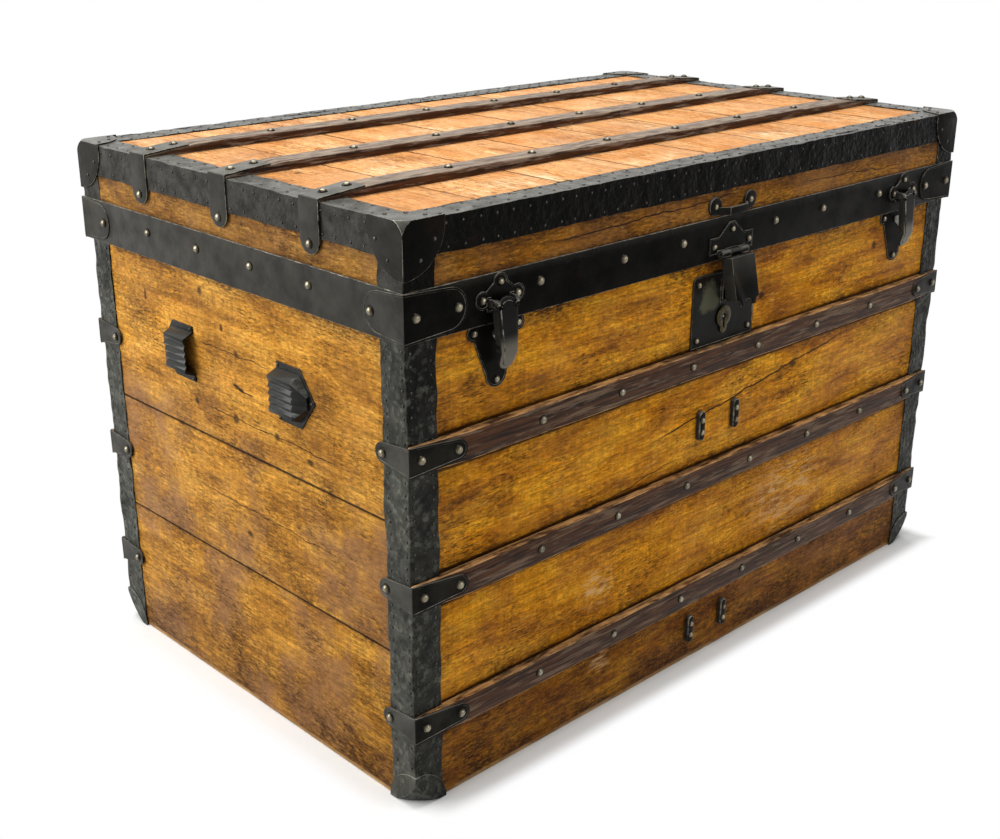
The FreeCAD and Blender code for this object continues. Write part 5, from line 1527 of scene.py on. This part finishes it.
@dataclass
class RivetSet:
    """Domed heads of all rivets and nails."""

    segments: int = 14
    rings: int = 4
    nail: float = 3.0
    crisp: float = 60.0

    def heads(self, node: str) -> None:
        """Replaces a node of CAD heads by finer ones in the same places.

        Args:
            node: CAD node of rivet heads.
        """
        bm = cad_copy(node)
        sizes: dict[tuple[float, float], list[HeadPlace]] = {}
        for group in islands(bm):
            base = max(group, key=lambda f: f.calc_area())
            foot, out = base.calc_center_median(), -base.normal
            radius = max((v.co - foot).length for v in base.verts) / MM
            height = max((v.co - foot).dot(out) for f in group for v in f.verts) / MM
            size = round(radius, 1), round(height, 1)
            sizes.setdefault(size, []).append((foot.copy(), out.copy(), 1.0))
        bm.free()
        parts = []
        for (radius, height), places in sizes.items():
            part = scatter(dome(radius, height, self.segments, self.rings), places)
            for face in part.faces:
                face.material_index = int(radius < self.nail)
            parts.append(part)
        dress(node, join(parts), RIVET_METAL, TACK_METAL, crisp=self.crisp)

    def build(self) -> None:
        """Builds and dresses the rivets."""
        for node in ("slat_rivets", "clamp_rivets", "fitting_rivets", "lid_rivets", "handle_cap_nails"):
            self.heads(node)


@dataclass
class HandleCaps:
    """Four ribbed iron caps that held the handles."""

    ribs: int = 5
    groove: float = 2.1
    level: float = 383.0
    face_half: float = 18.5
    edge: float = 0.7
    crisp: float = 22.0
    nose_highlight: float = 0.5
    nose_slope: float = 0.3
    face_depth: float = 0.3

    def paint_nose_highlight(self, cap: BMesh) -> None:
        """Paints a highlight on the upper slopes of the nose.

        Args:
            cap: mesh of one cap.
        """
        wear = cap.faces.layers.float["wear"]
        cap.normal_update()
        for face in cap.faces:
            slopes = face.normal.z > self.nose_slope and abs(face.normal.y) > self.nose_slope
            if slopes and face[wear] == 0:
                face[wear] = self.nose_highlight

    def press_grooves(self, cap: BMesh) -> None:
        """Presses grooves along the hood's flat face, which leave ribs between them.

        Args:
            cap: mesh of one cap.
        """
        reach = max(abs(v.co.x) for v in cap.verts)
        step = self.face_half / self.ribs
        for i in range(-self.ribs + 1, self.ribs):
            everything = cap.verts[:] + cap.edges[:] + cap.faces[:]
            point = Vector((0, 0, (self.level + i * step) * MM))
            bmesh.ops.bisect_plane(cap, geom=everything, dist=TOUCH * MM, plane_co=point, plane_no=UP)
        for vert in cap.verts:
            place = (vert.co.z / MM - self.level) / step
            on_face = abs(vert.co.x) > reach - self.face_depth * MM
            if on_face and abs(place) < self.ribs - 0.5 and (round(place) + self.ribs) % 2 == 0:
                vert.co.x -= math.copysign(self.groove * MM, vert.co.x)

    def build(self) -> None:
        """Builds and dresses the caps."""
        for end in ("left", "right"):
            for place in ("front", "back"):
                node = end + "_" + place + "_handle_cap"
                cap = cad_copy(node)
                self.press_grooves(cap)
                soften(cap, self.edge, 2, self.crisp)
                self.paint_nose_highlight(cap)
                dress(node, cap, HANDLE_IRON, crisp=self.crisp)


@dataclass
class Fittings:
    """Lock, hasp, latches, lid lift, cleats and back hinges."""

    edge: float = 0.5
    rim: float = 1.3
    line: float = 0.5
    panel_rim: float = 3.2
    panel_rise: float = 0.8
    panel_slope: float = 0.5
    plate_slope: float = 0.8
    cleat_edge: float = 1.2
    brass_edge: float = 0.4

    def mark_panel_reflection(self, tongue: BMesh) -> None:
        """Marks the raised panel of a tongue, whose lower part gets a painted grey reflection.

        Args:
            tongue: mesh of one tongue.
        """
        wear = tongue.faces.layers.float["wear"]
        tone = tongue.faces.layers.float["tone"]
        tongue.normal_update()
        for face in tongue.faces:
            if face[wear] == 0 and face.normal.y < -self.panel_slope:
                face[tone] = 1.0

    def facing_front(self, face: BMFace) -> bool:
        """Tells the front faces of a plate on the front."""
        return face.normal.y < -self.plate_slope

    def build(self) -> None:
        """Builds and dresses the fittings, and finishes what is hidden in them."""
        for node in (
            "lock_plate", "hasp_hinge_plate", "latch_keeper_left", "latch_keeper_right", "latch_plate_left",
            "latch_plate_right",
        ):
            plate = emboss(soften(cad_copy(node), self.edge), self.facing_front, self.rim, self.line)
            dress(node, plate, LOCK_IRON if node == "lock_plate" else CAST_IRON)
        for node in ("lid_lift_bracket", "hinge_lower_leaves", "hinge_upper_leaves"):
            dress(node, soften(cad_copy(node), self.edge), CAST_IRON)
        dress("front_cleats", soften(cad_copy("front_cleats"), self.cleat_edge, 3), CAST_IRON)
        dress("hasp_leaf", soften(cad_copy("hasp_leaf"), self.edge), HASP_IRON)
        for node in ("latch_tongue_left", "latch_tongue_right"):
            tongue = soften(cad_copy(node), self.edge)
            emboss(tongue, self.facing_front, self.panel_rim, -self.panel_rise)
            self.mark_panel_reflection(tongue)
            dress(node, tongue, GLOSS_IRON)
        dress("keyhole_escutcheon", soften(cad_copy("keyhole_escutcheon"), self.brass_edge), BRASS)
        for node in (
            "lock_case", "lock_spring", "lock_key_post", "lock_bolt", "hasp_pin", "latch_pins", "hinge_pins",
            "latch_catch_left", "latch_catch_right",
        ):
            dress_node(node, LOCK_STEEL)


def seen_ray(tree: NodeTree) -> Node:
    """Mask of the rays that see a white surround: from the camera, in gloss and through glass.

    Args:
        tree: node tree of the surround.

    Returns:
        Node with the mask.
    """
    path = add(tree, "LightPath").outputs
    seen = add(tree, "Math", (path["Is Camera Ray"], path["Is Glossy Ray"]), operation="MAXIMUM")
    return add(tree, "Math", (seen, path["Is Transmission Ray"]), operation="MAXIMUM")


@dataclass(frozen=True)
class Softbox:
    """Square soft light: where it hangs, the point that it faces and its side in metres, and its watts."""

    name: str
    place: tuple[float, float, float]
    aim: tuple[float, float, float]
    size: float
    watts: float

    def build(self) -> None:
        """Hangs the light."""
        light = bpy.data.lights.new(self.name, "AREA")
        light.size = self.size
        light.energy = self.watts
        lamp = bpy.data.objects.new(self.name, light)
        bpy.context.scene.collection.objects.link(lamp)
        lamp.location = self.place
        lamp.rotation_euler = (Vector(self.aim) - Vector(self.place)).to_track_quat("-Z", "Y").to_euler()


@dataclass
class Studio:
    """Floor, light and the photograph's camera."""

    camera_at: tuple[float, float, float] = (-1155.99, -1131.01, 835.54)
    camera_aim: tuple[float, float, float] = (-72.5, 0.0, 234.2)
    lens: float = 49.775
    sensor: float = 36.0
    roll: float = 0.107
    floor_size: float = 9000.0
    floor_drop: float = 0.3
    shadow_reach: float = 24.0
    sky_strength: float = 0.22
    sight: float = 50.0
    lights: tuple[Softbox, ...] = (
        Softbox("overhead_softbox", (-0.2, 0.1, 2.4), (0, 0, 0.3), 2.0, 66),
        Softbox("left_softbox", (-2.2, 1.0, 1.2), (-0.4, 0, 0.3), 1.8, 60),
        Softbox("front_softbox", (0.9, -2.5, 1.5), (0.1, 0, 0.3), 1.6, 18),
    )

    def floor(self) -> None:
        """Lays the white floor, which shows white and keeps the trunk's shadow."""
        bm = bmesh.new()
        bmesh.ops.create_grid(bm, x_segments=4, y_segments=4, size=self.floor_size / 2 * MM)
        bmesh.ops.translate(bm, verts=bm.verts[:], vec=-self.floor_drop * MM * UP)
        mesh = bpy.data.meshes.new("floor")
        bm.to_mesh(mesh)
        bm.free()
        floor = bpy.data.objects.new("floor", mesh)
        bpy.context.scene.collection.objects.link(floor)
        material, tree = new_material("Painted studio floor, white")
        # White paint shows the contact shadow near the trunk and runs out to plain white around it.
        paint = add(tree, "BsdfDiffuse", {"Color": "#F4F4F2"})
        plain = add(tree, "Emission", ("#FFFFFF", 1.0))
        place = add(tree, "SeparateXYZ", (add(tree, "TexCoord").outputs["Object"],))
        away = []
        for axis, half in ((0, CAD_BOX[1].x), (1, CAD_BOX[1].y)):
            off = add(tree, "Math", (place.outputs[axis],), operation="ABSOLUTE")
            away.append(add(tree, "Math", (off, half), operation="SUBTRACT"))
        away = add(tree, "Math", tuple(away), operation="MAXIMUM")
        clear = add(
            tree, "MapRange", (away, 0.0, self.shadow_reach * MM, 0.0, 1.0), interpolation_type="SMOOTHSTEP",
        )
        fade = add(tree, "Math", (seen_ray(tree), clear), operation="MULTIPLY")
        shader = add(tree, "MixShader", (fade, paint, plain))
        add(tree, "OutputMaterial", (shader,))
        mesh.materials.append(material)

    def build(self) -> None:
        """Sets up the studio."""
        scene = bpy.context.scene
        scene.view_settings.view_transform = "Standard"
        self.floor()
        world = bpy.data.worlds.new("studio")
        world.use_nodes = True
        scene.world = world
        tree = world.node_tree
        tree.nodes.clear()
        sky = add(tree, "Background", ("#F2F4F8", self.sky_strength))
        white = add(tree, "Background", ("#FFFFFF", 1.0))
        mixed = add(tree, "MixShader", (seen_ray(tree), sky, white))
        add(tree, "OutputWorld", (mixed,))
        for light in self.lights:
            light.build()
        data = bpy.data.cameras.new("camera")
        data.lens = self.lens
        data.sensor_width = self.sensor
        data.sensor_fit = "HORIZONTAL"
        data.clip_end = self.sight
        camera = bpy.data.objects.new("camera", data)
        scene.collection.objects.link(camera)
        place, aim = Vector(self.camera_at) * MM, Vector(self.camera_aim) * MM
        turn = (aim - place).to_track_quat("-Z", "Y").to_matrix().to_4x4()
        roll = Matrix.Rotation(math.radians(self.roll), 4, "Z")
        camera.matrix_world = Matrix.Translation(place) @ turn @ roll
        scene.camera = camera


def main() -> None:
    """Builds the dressed trunk and its studio."""
    logging.basicConfig(level=logging.INFO, format="%(name)s: %(message)s")
    noise.seed_set(NOISE_SEED)
    for assembly in (
        BoxWalls(), LidWood(), SlatSet(), BeatenIron(), FlatIron(), RivetSet(), HandleCaps(), Fittings(),
        Studio(),
    ):
        assembly.build()


if __name__ == "__main__":
    main()
